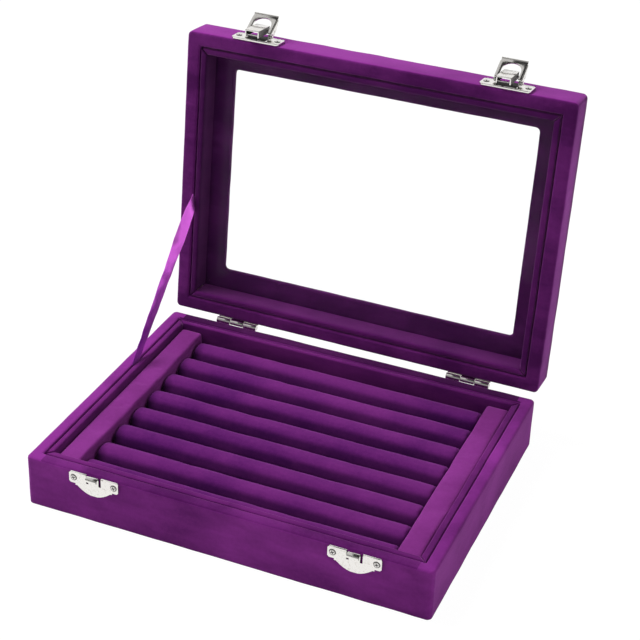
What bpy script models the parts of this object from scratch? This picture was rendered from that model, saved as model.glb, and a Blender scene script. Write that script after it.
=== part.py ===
"""Ring box with a clear lid, covered in velvet, in metres with +Z up.

The base stands on its underside at the origin, with its front towards -Y.
The lid, the levers and the links are modelled shut and flat; the pivots they hang on turn
them to how the box stands: lid open, levers part way out.
An inset is a distance inwards from the box's outer faces, seen from above.
"""
import math

import bmesh
import bpy
from mathutils import Matrix, Vector

# The whole box
BOX_WIDTH = 0.200
BOX_DEPTH = 0.150
BASE_HEIGHT = 0.0265
LID_HEIGHT = 0.0182
CLOSING_GAP = 0.0003
CORNER_RADIUS = 0.0024
CREASE_RADIUS = 0.0005
LID_OPEN_ANGLE = math.radians(96)

# Clearances
SEAT_GAP = 0.0003
PIN_GAP = 0.0001
OVERRUN = 0.002

# Facets of round shapes
CORNER_SEGMENTS = 4
ROLL_SEGMENTS = 3
TURNED_SEGMENTS = 12
PIN_SEGMENTS = 16
SMOOTH_ANGLE = math.radians(40)

# Velvet covers
COVER_THICKNESS = 0.0005
BASE_EDGE_RADIUS = 0.0013
LID_EDGE_RADIUS = 0.0012
RIM_INNER_RADIUS = 0.0010
HEM_RADIUS = 0.0008
HEM_WIDTH = 0.0037
HEM_CLEARANCE = 0.0001
BASE_TURN_IN = 0.0120
LID_TURN_IN = 0.0100

# Walls and floors
BASE_WALL = 0.0058
LID_WALL = 0.0068
BOTTOM_BOARD_THICKNESS = 0.0025
UNDERSIDE_THICKNESS = 0.0007
INSERT_THICKNESS = 0.0012

# Liners stand behind a groove that holds the ribbon
GROOVE_WIDTH = 0.0008
BASE_LINER = 0.0028
LID_LINER = 0.0030
LINER_DROP = 0.0002
LINER_EDGE_RADIUS = 0.0010

# Window in the lid
WINDOW_BORDER = 0.0200
WINDOW_CORNER_RADIUS = 0.0030
WINDOW_EDGE_RADIUS = 0.0010
WINDOW_CARD_THICKNESS = 0.0016
WINDOW_TURN_IN = 0.0120
PANE_THICKNESS = 0.0020

# Rolls and end bars
ROLL_PITCH = 0.01687
ROLL_HEIGHT = 0.0161
ROLL_CROWN = 0.0002
REAR_ROLL_GAP = 0.0007
NARROWEST_ROLL = 0.0040
BAR_WIDTH = 0.0122
BAR_HEIGHT = 0.0183
BAR_EDGE_RADIUS = 0.0012
BAR_CROWN = 0.0003

# Metal sheet and screws
SHEET = 0.0008
FITTING_OFFSET = 0.0640
SCREW_HEAD_RADIUS = 0.0015
SCREW_SHANK_RADIUS = 0.0007
SCREW_LENGTH = 0.0042
SCREW_DOME = 0.0002
SCREW_CLEARANCE = 0.00025

# Hinges
HINGE_WIDTH = 0.0226
HINGE_LEAF_LENGTH = 0.0085
HINGE_SCREW_SPREAD = 0.0160
HINGE_SCREW_REACH = 0.0055
HINGE_PIN_RADIUS = 0.0006
KNUCKLE_CURL = math.radians(285)
KNUCKLE_STEPS = 12

# Catch plates on the base
CATCH_WIDTH = 0.0253
CATCH_DROP = 0.0002
CATCH_TAB_HEIGHT = 0.0060
CATCH_TAB_WIDTH = 0.0041
CATCH_STEP = 0.0009
CATCH_BELLY = 0.0039
CATCH_BELLY_SEGMENTS = 10
CATCH_CORNER = 0.0008
CATCH_SCREW_SPREAD = 0.0206
TONGUE_WIDTH = 0.0052
TONGUE_SLIT = 0.0012
TONGUE_SLIT_DEPTH = 0.0046
TONGUE_TUCK = 0.0014
TONGUE_LEAN = 0.0004
TONGUE_BORE = 0.0008
TONGUE_LIP = 0.0004
TONGUE_CURL = math.radians(180)
TONGUE_STEPS = 8

# Latch plates, levers and links on the lid
LATCH_WIDTH = 0.0252
LATCH_HEIGHT = 0.0100
LATCH_RISE = 0.0001
LATCH_CORNER = 0.0012
LATCH_SCREW_SPREAD = 0.0206
LUG_SHEET = 0.0007
LUG_RADIUS = 0.0012
LUG_FOOT = 0.0034
LEVER_REST_ANGLE = math.radians(35)
LEVER_WIDTH = 0.0137
LEVER_SHEET = 0.0007
LEVER_LENGTH = 0.0104
LEVER_PIVOT_RISE = 0.0059
LEVER_PIVOT_HEIGHT = 0.0015
LEVER_PIN_RADIUS = 0.0005
LEVER_EYE_RADIUS = 0.0012
LEVER_WINDOW_WIDTH = 0.0095
LEVER_WINDOW_END = 0.0094
LEVER_ARCH_RISE = 0.0045
LEVER_ARCH_SEGMENTS = 10
LEVER_HEEL = 0.0004
LEVER_SHOULDER = 0.0002
LEVER_LIP_RADIUS = 0.0010
LEVER_LIP_CURL = math.radians(60)
LEVER_LIP_STEPS = 5
RIVET_HEAD_RADIUS = 0.0009
RIVET_HEAD = 0.0003
LINK_WIDTH = 0.0073
LINK_SHEET = 0.0006
LINK_TAIL = 0.0011
LINK_NOSE = 0.0008
LINK_PIN_RADIUS = 0.0004
BAR_RADIUS = 0.00035
BAR_CLEARANCE = 0.00015
BAR_PASS_GAP = 0.0001

# Stay ribbon between the left grooves
RIBBON_WIDTH = 0.0060
RIBBON_THICKNESS = 0.0003
RIBBON_TUCK = 0.0030
RIBBON_BASE_Y = 0.0200
RIBBON_LID_Y = 0.0140
RIBBON_TWIST = math.radians(-40)
RIBBON_STATIONS = 24

# Outline of a roll and its drawn-in ends: how far along from the middle, and how full there
ROLL_FOOT_SHARE = 0.84
ROLL_END_SHARES = ((1.0, 0.70), (0.994, 0.87), (0.978, 0.97), (0.94, 1.0))
ROLL_ARC_SEGMENTS = 14
ROLL_SIDE_SEGMENTS = 3
BAR_END_SHARES = ((1.0, 0.90), (0.988, 0.97), (0.96, 1.0))

# Heights and insets worked out from the sizes above
COVER_GAP = COVER_THICKNESS + SEAT_GAP
HALF_WIDTH = BOX_WIDTH / 2
HALF_DEPTH = BOX_DEPTH / 2
LID_RIM = BASE_HEIGHT + CLOSING_GAP
LID_TOP = LID_RIM + LID_HEIGHT
BASE_FRAME_BOTTOM = HEM_CLEARANCE + COVER_GAP
BASE_FRAME_TOP = BASE_HEIGHT - COVER_GAP
BASE_FRAME_INSIDE = BASE_WALL - COVER_GAP
BOTTOM_BOARD_BASE = UNDERSIDE_THICKNESS + SEAT_GAP
BOTTOM_BOARD_TOP = BOTTOM_BOARD_BASE + BOTTOM_BOARD_THICKNESS
INSERT_BOTTOM = BOTTOM_BOARD_TOP + SEAT_GAP
INSERT_TOP = INSERT_BOTTOM + INSERT_THICKNESS
TRAY_FLOOR = INSERT_TOP + SEAT_GAP
BASE_LINER_INSET = BASE_WALL + GROOVE_WIDTH
BASE_INSIDE = BASE_LINER_INSET + BASE_LINER
LID_LINER_INSET = LID_WALL + GROOVE_WIDTH
CARD_TOP = LID_TOP - COVER_GAP
CARD_BOTTOM = CARD_TOP - WINDOW_CARD_THICKNESS
FLANGE_BOTTOM = CARD_BOTTOM - COVER_GAP
PANE_TOP = FLANGE_BOTTOM - SEAT_GAP
PANE_BOTTOM = PANE_TOP - PANE_THICKNESS
LID_FRAME_TOP = CARD_BOTTOM - SEAT_GAP
LID_FRAME_INSIDE = LID_WALL - COVER_GAP
PANE_INSET = LID_FRAME_INSIDE + SEAT_GAP

# Hinge line
LEAF_BACK = HALF_DEPTH + SEAT_GAP
KNUCKLE_BORE = HINGE_PIN_RADIUS + PIN_GAP
KNUCKLE_RADIUS = KNUCKLE_BORE + SHEET
HINGE_Y = LEAF_BACK + KNUCKLE_RADIUS
HINGE_Z = BASE_HEIGHT + CLOSING_GAP / 2
HINGE_POINT = Vector((0, HINGE_Y, HINGE_Z))

# Front fittings, as distances out from the front face
PLATE_BACK = SEAT_GAP
PLATE_FACE = PLATE_BACK + SHEET
CATCH_TOP = BASE_HEIGHT - CATCH_DROP
CURL_HEIGHT = CATCH_TOP - TONGUE_TUCK
CURL_OUT = PLATE_FACE + TONGUE_LEAN + TONGUE_BORE
CURL_FRONT = CURL_OUT + TONGUE_BORE + SHEET
HOOKED_BAR_Z = CURL_HEIGHT + TONGUE_BORE - BAR_RADIUS - BAR_CLEARANCE
LEVER_PIVOT_OUT = PLATE_FACE + LEVER_PIVOT_HEIGHT
LEVER_PIVOT_Z = LID_RIM + LATCH_RISE + LEVER_PIVOT_RISE
LINK_PIN_REACH = (CURL_FRONT + BAR_RADIUS + BAR_PASS_GAP - CURL_OUT) / math.sin(LEVER_REST_ANGLE)
LINK_PIN_Z = LEVER_PIVOT_Z + LINK_PIN_REACH
WEB_BACK = CURL_FRONT + SEAT_GAP
WEB_FACE = WEB_BACK + LINK_SHEET
LEVER_FLANGE_OUTER = LEVER_WIDTH / 2
LEVER_FLANGE_INNER = LEVER_FLANGE_OUTER - LEVER_SHEET
LUG_OUTER = LEVER_FLANGE_INNER - SEAT_GAP
LUG_INNER = LUG_OUTER - LUG_SHEET
LEVER_PIVOT = Vector((0, -HALF_DEPTH - LEVER_PIVOT_OUT, LEVER_PIVOT_Z))
LINK_PIVOT = Vector((0, -HALF_DEPTH - LEVER_PIVOT_OUT, LINK_PIN_Z))

# Colours as red, green, blue, with roughness and metallic value
FINISHES = {
    "velvet": ((0.16, 0.03, 0.19), 0.95, 0.0),
    "velvet_roll": ((0.20, 0.05, 0.21), 0.95, 0.0),
    "board": ((0.42, 0.34, 0.24), 0.85, 0.0),
    "underside": ((0.05, 0.02, 0.06), 0.9, 0.0),
    "nickel": ((0.78, 0.77, 0.76), 0.22, 1.0),
    "clear": ((0.92, 0.95, 0.95), 0.05, 0.0),
    "satin": ((0.70, 0.14, 0.82), 0.4, 0.0),
}


def clear_scene():
    for old in list(bpy.data.objects):
        bpy.data.objects.remove(old, do_unlink=True)


def finish_material(name, finish):
    colour, roughness, metallic = FINISHES[finish]
    material = bpy.data.materials.new(name)
    material.use_nodes = True
    shader = material.node_tree.nodes["Principled BSDF"]
    shader.inputs["Base Color"].default_value = (*colour, 1.0)
    shader.inputs["Roughness"].default_value = roughness
    shader.inputs["Metallic"].default_value = metallic
    return material


class Pivot:
    """An empty on a joint's axis, with the place that it has in the shut, flat model."""

    def __init__(self, name, point, angle, carrier=None):
        self.point = point
        self.empty = bpy.data.objects.new(name, None)
        bpy.context.scene.collection.objects.link(self.empty)
        self.empty.location = point
        if carrier:
            self.empty.parent = carrier.empty
            self.empty.location = point - carrier.point
        self.empty.rotation_euler.x = angle

    def hold(self, item):
        item.parent = self.empty
        item.matrix_parent_inverse = Matrix.Translation(-self.point)


def make_object(name, bm, pivot=None):
    bmesh.ops.recalc_face_normals(bm, faces=bm.faces)
    mesh = bpy.data.meshes.new(name)
    bm.to_mesh(mesh)
    bm.free()
    item = bpy.data.objects.new(name, mesh)
    bpy.context.scene.collection.objects.link(item)
    if pivot:
        pivot.hold(item)
    return item


def make_part(name, bm, finish, pivot=None):
    part = make_object(name, bm, pivot)
    part.data.materials.append(finish_material(name, finish))
    part.data.shade_smooth()
    part.data.set_sharp_from_angle(angle=SMOOTH_ANGLE)
    return part


def make_tool(name, bm, pivot=None):
    """A shape that only cuts or joins, and isn't a piece itself."""
    tool = make_object(name, bm, pivot)
    tool.hide_render = True
    tool.display_type = "WIRE"
    return tool


def combine(part, operation, *tools):
    for tool in tools:
        modifier = part.modifiers.new(tool.name, "BOOLEAN")
        modifier.operation = operation
        modifier.solver = "EXACT"
        modifier.object = tool


def fillet(before, corner, after, radius, segments):
    """Points of the arc that rounds a corner between two straight runs."""
    back = (before - corner).normalized()
    ahead = (after - corner).normalized()
    half_angle = back.angle(ahead) / 2
    reach = radius / math.tan(half_angle)
    centre = corner + (back + ahead).normalized() * (radius / math.sin(half_angle))
    start = corner + back * reach - centre
    end = corner + ahead * reach - centre
    sweep = math.atan2(start.x * end.y - start.y * end.x, start.dot(end))
    return [
        centre + Matrix.Rotation(sweep * step / segments, 2) @ start
        for step in range(segments + 1)
    ]


def rounded_run(corners, radii):
    """An open run of corner points, each inner one rounded by its radius."""
    points = [corners[0]]
    for before, corner, after, radius in zip(corners, corners[1:], corners[2:], radii):
        points += fillet(before, corner, after, radius, ROLL_SEGMENTS)
    return points + [corners[-1]]


def rounded_outline(corners, radii):
    """A closed outline whose corners are rounded where their radius isn't zero."""
    corners = [Vector(corner) for corner in corners]
    points = []
    for index, (corner, radius) in enumerate(zip(corners, radii)):
        if radius:
            after = corners[(index + 1) % len(corners)]
            points += fillet(corners[index - 1], corner, after, radius, ROLL_SEGMENTS)
        else:
            points.append(corner)
    return points


def moved_left(corners, distance):
    """The same run of corners, moved to its left side by a distance."""
    normals = []
    for start, end in zip(corners, corners[1:]):
        along = (end - start).normalized()
        normals.append(Vector((-along.y, along.x)))
    moved = [corners[0] + normals[0] * distance]
    for corner, first, second in zip(corners[1:], normals, normals[1:]):
        moved.append(corner + (first + second) * (distance / (1 + first.dot(second))))
    return moved + [corners[-1] + normals[-1] * distance]


def wrapped_profile(corners, radii):
    """Cross-section of velvet wrapped round a board that lies on the left of the run."""
    corners = [Vector(corner) for corner in corners]
    outside = rounded_run(corners, radii)
    inner_radii = [radius - COVER_THICKNESS for radius in radii]
    inside = rounded_run(moved_left(corners, COVER_THICKNESS), inner_radii)
    return outside + inside[::-1]


def corner_radius(inset):
    return max(CORNER_RADIUS - inset, CREASE_RADIUS)


def window_radius(inset):
    """Corner radius in the lid: the outer corner's near the wall, the window's near its edge."""
    share = max(inset - LID_WALL, 0) / (WINDOW_BORDER - LID_WALL)
    return corner_radius(inset) + (WINDOW_CORNER_RADIUS - CREASE_RADIUS) * min(share, 1)


def rounded_rectangle(half_width, half_depth, radius):
    points = []
    for quarter, (side_x, side_y) in enumerate(((1, 1), (-1, 1), (-1, -1), (1, -1))):
        centre = Vector((side_x * (half_width - radius), side_y * (half_depth - radius)))
        for step in range(CORNER_SEGMENTS + 1):
            angle = (quarter + step / CORNER_SEGMENTS) * math.pi / 2
            points.append(centre + radius * Vector((math.cos(angle), math.sin(angle))))
    return points


def bridge(bm, rings, closed):
    """Faces between rings of points; an open row of rings gets a flat face at each end."""
    loops = [[bm.verts.new(point) for point in ring] for ring in rings]
    pairs = list(zip(loops, loops[1:]))
    if closed:
        pairs.append((loops[-1], loops[0]))
    for low, high in pairs:
        for index, vert in enumerate(low):
            bm.faces.new((low[index - 1], vert, high[index], high[index - 1]))
    if not closed:
        bm.faces.new(loops[0])
        bm.faces.new(loops[-1])


def ring_body(profile, radius_at=corner_radius):
    """A frame all round the box, from its cross-section of insets and heights."""
    bm = bmesh.new()
    rings = []
    for inset, height in profile:
        outline = rounded_rectangle(HALF_WIDTH - inset, HALF_DEPTH - inset, radius_at(inset))
        rings.append([(point.x, point.y, height) for point in outline])
    bridge(bm, rings, closed=True)
    return bm


def flat_body(inset, bottom, top):
    """A flat board with rounded corners, a given inset smaller than the box."""
    bm = bmesh.new()
    outline = rounded_rectangle(HALF_WIDTH - inset, HALF_DEPTH - inset, CREASE_RADIUS)
    bridge(bm, [[(p.x, p.y, height) for p in outline] for height in (bottom, top)], closed=False)
    return bm


def prism(bm, points, step):
    """A body between a flat outline and its copy moved by a step."""
    points = [Vector(point) for point in points]
    bridge(bm, [points, [point + step for point in points]], closed=False)


def turned(bm, profile, centre, axis, segments):
    """A body turned about an axis, from radii and distances along it."""
    turn = axis.to_track_quat("Z", "Y")
    rings = []
    for radius, distance in profile:
        ring = []
        for index in range(segments):
            angle = 2 * math.pi * index / segments
            ring.append(centre + turn @ Vector(
                (radius * math.cos(angle), radius * math.sin(angle), distance)))
        rings.append(ring)
    bridge(bm, rings, closed=False)


def with_borders(faces):
    """Faces with their edges and corners, so that pulling them leaves no face behind inside."""
    edges = {edge for face in faces for edge in face.edges}
    verts = {vert for face in faces for vert in face.verts}
    return [*faces, *edges, *verts]


def curl_faces(bm, faces, centre, angle, steps):
    """The end faces carried round an axis along X, leaving a curled sheet behind."""
    curl = bmesh.ops.spin(
        bm, geom=with_borders(faces), cent=centre, axis=(1, 0, 0), angle=angle, steps=steps,
        use_duplicate=False)
    return [item for item in curl["geom_last"] if isinstance(item, bmesh.types.BMFace)]


def mitred_liners(prefix, inset, thickness, bottom, top, rounded_top, pivot=None):
    """Four velvet strips that meet in mitres behind the groove."""
    outer, inner = inset, inset + thickness
    corners = ((outer, bottom), (inner, bottom), (inner, top), (outer, top))
    low_radius, high_radius = (0, LINER_EDGE_RADIUS) if rounded_top else (LINER_EDGE_RADIUS, 0)
    outline = rounded_outline(corners, (low_radius, low_radius, high_radius, high_radius))
    for side, turn in (("front", 0), ("right", 1), ("back", 2), ("left", 3)):
        across, along = (HALF_DEPTH, HALF_WIDTH) if turn % 2 == 0 else (HALF_WIDTH, HALF_DEPTH)
        rotation = Matrix.Rotation(turn * math.pi / 2, 3, "Z")
        rings = []
        for end in (-1, 1):
            rings.append([
                rotation @ Vector((end * (along - point.x - SEAT_GAP), point.x - across, point.y))
                for point in outline
            ])
        bm = bmesh.new()
        bridge(bm, rings, closed=False)
        make_part(prefix + side, bm, "velvet", pivot)


def frame_profile(inside, bottom, top, edge_radius, rolled_bottom):
    """Cross-section of the walls under the velvet, with the edge that the rim rolls over."""
    corners = ((COVER_GAP, bottom), (inside, bottom), (inside, top), (COVER_GAP, top))
    radius = edge_radius - COVER_GAP
    radii = (radius, 0, 0, 0) if rolled_bottom else (0, 0, 0, radius)
    return rounded_outline(corners, radii)


def base_box():
    cover = make_part("base_velvet_cover", ring_body(wrapped_profile(
        (
            (BASE_WALL, BASE_HEIGHT - BASE_TURN_IN),
            (BASE_WALL, BASE_HEIGHT),
            (0, BASE_HEIGHT),
            (0, HEM_CLEARANCE),
            (HEM_WIDTH, HEM_CLEARANCE),
        ),
        (RIM_INNER_RADIUS, BASE_EDGE_RADIUS, HEM_RADIUS),
    )), "velvet")
    frame = make_part("base_wall_frame", ring_body(frame_profile(
        BASE_FRAME_INSIDE, BASE_FRAME_BOTTOM, BASE_FRAME_TOP, BASE_EDGE_RADIUS,
        rolled_bottom=False,
    )), "board")
    make_part("base_bottom_board", flat_body(
        BASE_FRAME_INSIDE + SEAT_GAP, BOTTOM_BOARD_BASE, BOTTOM_BOARD_TOP), "board")
    make_part("base_underside_sheet", flat_body(
        HEM_WIDTH + SEAT_GAP, 0, UNDERSIDE_THICKNESS), "underside")
    mitred_liners("base_liner_", BASE_LINER_INSET, BASE_LINER, INSERT_BOTTOM,
                  BASE_HEIGHT - LINER_DROP, rounded_top=True)
    make_part("insert_board", flat_body(
        BASE_INSIDE + SEAT_GAP, INSERT_BOTTOM, INSERT_TOP), "board")
    return [cover, frame]


def lid_box(lid):
    cover = make_part("lid_velvet_cover", ring_body(wrapped_profile(
        (
            (WINDOW_BORDER - WINDOW_TURN_IN, FLANGE_BOTTOM),
            (WINDOW_BORDER, FLANGE_BOTTOM),
            (WINDOW_BORDER, LID_TOP),
            (0, LID_TOP),
            (0, LID_RIM),
            (LID_WALL, LID_RIM),
            (LID_WALL, LID_RIM + LID_TURN_IN),
        ),
        (WINDOW_EDGE_RADIUS, WINDOW_EDGE_RADIUS, LID_EDGE_RADIUS, LID_EDGE_RADIUS,
         RIM_INNER_RADIUS),
    ), window_radius), "velvet", lid)
    frame = make_part("lid_wall_frame", ring_body(frame_profile(
        LID_FRAME_INSIDE, LID_RIM + COVER_GAP, LID_FRAME_TOP, LID_EDGE_RADIUS,
        rolled_bottom=True,
    )), "board", lid)
    card_inner = WINDOW_BORDER - COVER_GAP
    edge = LID_EDGE_RADIUS - COVER_GAP
    make_part("lid_window_card", ring_body(rounded_outline(
        ((COVER_GAP, CARD_BOTTOM), (card_inner, CARD_BOTTOM), (card_inner, CARD_TOP),
         (COVER_GAP, CARD_TOP)),
        (0, 0, 0, edge),
    ), window_radius), "board", lid)
    make_part("glass_pane", flat_body(PANE_INSET, PANE_BOTTOM, PANE_TOP), "clear", lid)
    mitred_liners("lid_liner_", LID_LINER_INSET, LID_LINER, LID_RIM + LINER_DROP,
                  PANE_BOTTOM - SEAT_GAP, rounded_top=False, pivot=lid)
    return [cover, frame]


def roll_section(half_width, height):
    """Half round on top, nearly upright sides, and a narrower flat foot."""
    widest = height - half_width
    foot = half_width * ROLL_FOOT_SHARE
    points = []
    for step in range(ROLL_SIDE_SEGMENTS):
        angle = step / ROLL_SIDE_SEGMENTS * math.pi / 2
        points.append((foot + (half_width - foot) * math.sin(angle), widest * step / ROLL_SIDE_SEGMENTS))
    right = list(points)
    for step in range(ROLL_ARC_SEGMENTS + 1):
        angle = math.pi * step / ROLL_ARC_SEGMENTS
        points.append((half_width * math.cos(angle), widest + half_width * math.sin(angle)))
    points += [(-x, z) for x, z in reversed(right)]
    return points


def cushion_body(section, half_length, end_shares, crown, place):
    """A stuffed strip: its section drawn in towards both ends and crowned in the middle."""
    stations = [(-along, full) for along, full in end_shares]
    stations += [(0, 1)] + [(along, full) for along, full in reversed(end_shares)]
    top = max(z for _, z in section)
    rings = []
    for along, full in stations:
        ring = []
        for across, z in section:
            lift = crown * (1 - along * along) * z / top
            ring.append(place(across * full, half_length * along, z * (full + 1) / 2 + lift))
        rings.append(ring)
    bm = bmesh.new()
    bridge(bm, rings, closed=False)
    return bm


def ring_rolls():
    inner_bar = HALF_WIDTH - BASE_INSIDE - SEAT_GAP - BAR_WIDTH
    half_length = inner_bar - SEAT_GAP
    front_limit = -(HALF_DEPTH - BASE_INSIDE) + SEAT_GAP
    back_edge = HALF_DEPTH - BASE_INSIDE - REAR_ROLL_GAP
    number = 1
    while back_edge - front_limit > NARROWEST_ROLL:
        width = min(ROLL_PITCH - SEAT_GAP, back_edge - front_limit)
        centre = back_edge - width / 2

        def place(across, along, z, centre=centre):
            return along, centre + across, TRAY_FLOOR + z

        bm = cushion_body(
            roll_section(width / 2, ROLL_HEIGHT - ROLL_CROWN), half_length, ROLL_END_SHARES,
            ROLL_CROWN, place)
        make_part("ring_roll_" + str(number), bm, "velvet_roll")
        back_edge -= ROLL_PITCH
        number += 1


def end_bars():
    half = BAR_WIDTH / 2
    height = BAR_HEIGHT - BAR_CROWN
    section = rounded_outline(
        ((half, 0), (half, height), (-half, height), (-half, 0)),
        (0, BAR_EDGE_RADIUS, BAR_EDGE_RADIUS, 0))
    section = [(point.x, point.y) for point in section]
    middle = HALF_WIDTH - BASE_INSIDE - SEAT_GAP - half
    half_length = HALF_DEPTH - BASE_INSIDE - SEAT_GAP
    for name, side in (("left_end_bar", -1), ("right_end_bar", 1)):

        def place(across, along, z, centre=side * middle):
            return centre + across, along, TRAY_FLOOR + z

        make_part(name, cushion_body(
            section, half_length, BAR_END_SHARES, BAR_CROWN, place), "velvet_roll")


def screw_body(place, axis):
    bm = bmesh.new()
    turned(bm, (
        (SCREW_HEAD_RADIUS / 2, SCREW_DOME),
        (SCREW_HEAD_RADIUS, 0),
        (SCREW_SHANK_RADIUS, SCREW_SHANK_RADIUS - SCREW_HEAD_RADIUS),
        (SCREW_SHANK_RADIUS, SCREW_SHANK_RADIUS - SCREW_LENGTH),
        (SCREW_SHANK_RADIUS / 2, -SCREW_LENGTH),
    ), place, axis, TURNED_SEGMENTS)
    return bm


def screw_holes(places, axis):
    """Countersunk holes that stop just short of the screws' reach."""
    head = SCREW_HEAD_RADIUS + SCREW_CLEARANCE
    shank = SCREW_SHANK_RADIUS + SCREW_CLEARANCE
    bm = bmesh.new()
    for place in places:
        turned(bm, (
            (head, OVERRUN),
            (head, 0),
            (shank, shank - head),
            (shank, -SCREW_LENGTH - SEAT_GAP),
        ), place, axis, TURNED_SEGMENTS)
    return bm


def screw_places(spread, out, height):
    """Two screws on each of the two fittings of one side, on the fittings' outer face."""
    return [
        Vector((side * FITTING_OFFSET + end * spread / 2, out, height))
        for side in (-1, 1) for end in (-1, 1)
    ]


def fit_screws(name, places, axis, hosts, pivot=None):
    """The screws of one kind of fitting, and the holes that they need."""
    for number, place in enumerate(places, start=1):
        make_part(name + "_screw_" + str(number), screw_body(place, axis), "nickel", pivot)
    tool = make_tool(name + "_holes", screw_holes(places, axis), pivot)
    for host in hosts:
        combine(host, "DIFFERENCE", tool)


def leaf_body(centre, direction, knuckles):
    """A leaf on the back face, with eyes rolled from its own sheet round the hinge line.

    direction is +1 for the leaf that goes up from the hinge line and -1 for the one below.
    knuckles are the stretches along X whose sheet reaches the hinge line.
    """
    far = HINGE_Z + direction * HINGE_LEAF_LENGTH
    near = HINGE_Z + direction * (KNUCKLE_RADIUS + SEAT_GAP)
    half = HINGE_WIDTH / 2
    edges = sorted({-half, half, *[edge for knuckle in knuckles for edge in knuckle]})
    outline = [Vector((centre + half, LEAF_BACK, far)), Vector((centre - half, LEAF_BACK, far))]
    for left, right in zip(edges, edges[1:]):
        level = HINGE_Z if (left, right) in knuckles else near
        outline.append(Vector((centre + left, LEAF_BACK, level)))
        outline.append(Vector((centre + right, LEAF_BACK, level)))
    bm = bmesh.new()
    prism(bm, outline, Vector((0, SHEET, 0)))
    bmesh.ops.recalc_face_normals(bm, faces=bm.faces)
    for left, right in knuckles:
        middle = centre + (left + right) / 2
        ends = [
            face for face in bm.faces
            if abs(face.normal.z) > abs(face.normal.y) + abs(face.normal.x)
            and abs(face.calc_center_median().z - HINGE_Z) < PIN_GAP
            and abs(face.calc_center_median().x - middle) < PIN_GAP
        ]
        curl_faces(bm, ends, HINGE_POINT, direction * KNUCKLE_CURL, KNUCKLE_STEPS)
    return bm


def hinges(lid, base_walls, lid_walls):
    half = HINGE_WIDTH / 2
    third = HINGE_WIDTH / 6
    base_knuckles = [(-half, -third - SEAT_GAP / 2), (third + SEAT_GAP / 2, half)]
    lid_knuckles = [(-third + SEAT_GAP / 2, third - SEAT_GAP / 2)]
    base_leaves, lid_leaves = [], []
    for label, side in (("left", -1), ("right", 1)):
        centre = side * FITTING_OFFSET
        base_leaves.append(make_part(
            "hinge_" + label + "_base_leaf", leaf_body(centre, -1, base_knuckles), "nickel"))
        lid_leaves.append(make_part(
            "hinge_" + label + "_lid_leaf", leaf_body(centre, 1, lid_knuckles), "nickel", lid))
        pin = bmesh.new()
        profile = ((HINGE_PIN_RADIUS, -half), (HINGE_PIN_RADIUS, half))
        turned(pin, profile, HINGE_POINT + Vector((centre, 0, 0)), Vector((1, 0, 0)), PIN_SEGMENTS)
        make_part("hinge_pin_" + label, pin, "nickel")
    face = LEAF_BACK + SHEET
    outwards = Vector((0, 1, 0))
    fit_screws("hinge_base",
               screw_places(HINGE_SCREW_SPREAD, face, HINGE_Z - HINGE_SCREW_REACH),
               outwards, base_leaves + base_walls)
    fit_screws("hinge_lid",
               screw_places(HINGE_SCREW_SPREAD, face, HINGE_Z + HINGE_SCREW_REACH),
               outwards, lid_leaves + lid_walls, lid)


def mirrored(outline):
    """A right-hand outline with its left-hand copy, back to the start."""
    return list(outline) + [(-x, z) for x, z in reversed(outline)]


def catch_outline():
    """Right half of a catch plate, from the bottom of its belly to the tongue's top."""
    half = CATCH_WIDTH / 2
    belly_half = half - CATCH_TAB_WIDTH
    belly_edge = CATCH_TAB_HEIGHT + CATCH_STEP
    points = []
    for step in range(1, CATCH_BELLY_SEGMENTS // 2 + 1):
        share = 2 * step / CATCH_BELLY_SEGMENTS
        points.append((belly_half * share, -belly_edge - CATCH_BELLY * (1 - share * share)))
    tongue = TONGUE_WIDTH / 2
    points += [
        (belly_half + CATCH_STEP, -belly_edge),
        (belly_half + CATCH_STEP, -CATCH_TAB_HEIGHT),
        (half - CATCH_CORNER, -CATCH_TAB_HEIGHT),
        (half, CATCH_CORNER - CATCH_TAB_HEIGHT),
        (half, -CATCH_CORNER),
        (half - CATCH_CORNER, 0),
        (tongue + TONGUE_SLIT, 0),
        (tongue + TONGUE_SLIT, -TONGUE_SLIT_DEPTH),
        (tongue, -TONGUE_SLIT_DEPTH),
        (tongue, -TONGUE_TUCK),
    ]
    return points


def catch_body(centre):
    bm = bmesh.new()
    outline = mirrored(catch_outline())
    back = -HALF_DEPTH - PLATE_BACK
    prism(bm, [(centre + x, back, CATCH_TOP + z) for x, z in outline], Vector((0, -SHEET, 0)))
    bmesh.ops.recalc_face_normals(bm, faces=bm.faces)
    ends = [
        face for face in bm.faces
        if face.normal.z > abs(face.normal.y) and abs(face.calc_center_median().x - centre) < PIN_GAP
    ]
    for vert in {vert for face in ends for vert in face.verts}:
        vert.co.y -= TONGUE_LEAN
    curl_centre = Vector((centre, -HALF_DEPTH - CURL_OUT, CURL_HEIGHT))
    last = curl_faces(bm, ends, curl_centre, TONGUE_CURL, TONGUE_STEPS)
    lip = bmesh.ops.extrude_face_region(bm, geom=with_borders(last))
    lip_verts = [item for item in lip["geom"] if isinstance(item, bmesh.types.BMVert)]
    bmesh.ops.translate(bm, vec=(0, 0, -TONGUE_LIP), verts=lip_verts)
    return bm


def catches(base_walls):
    plates = []
    for label, side in (("left", -1), ("right", 1)):
        plates.append(make_part(
            "catch_plate_" + label, catch_body(side * FITTING_OFFSET), "nickel"))
    places = screw_places(
        CATCH_SCREW_SPREAD, -HALF_DEPTH - PLATE_FACE, CATCH_TOP - CATCH_TAB_HEIGHT / 2)
    fit_screws("catch", places, Vector((0, -1, 0)), plates + base_walls)


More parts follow.
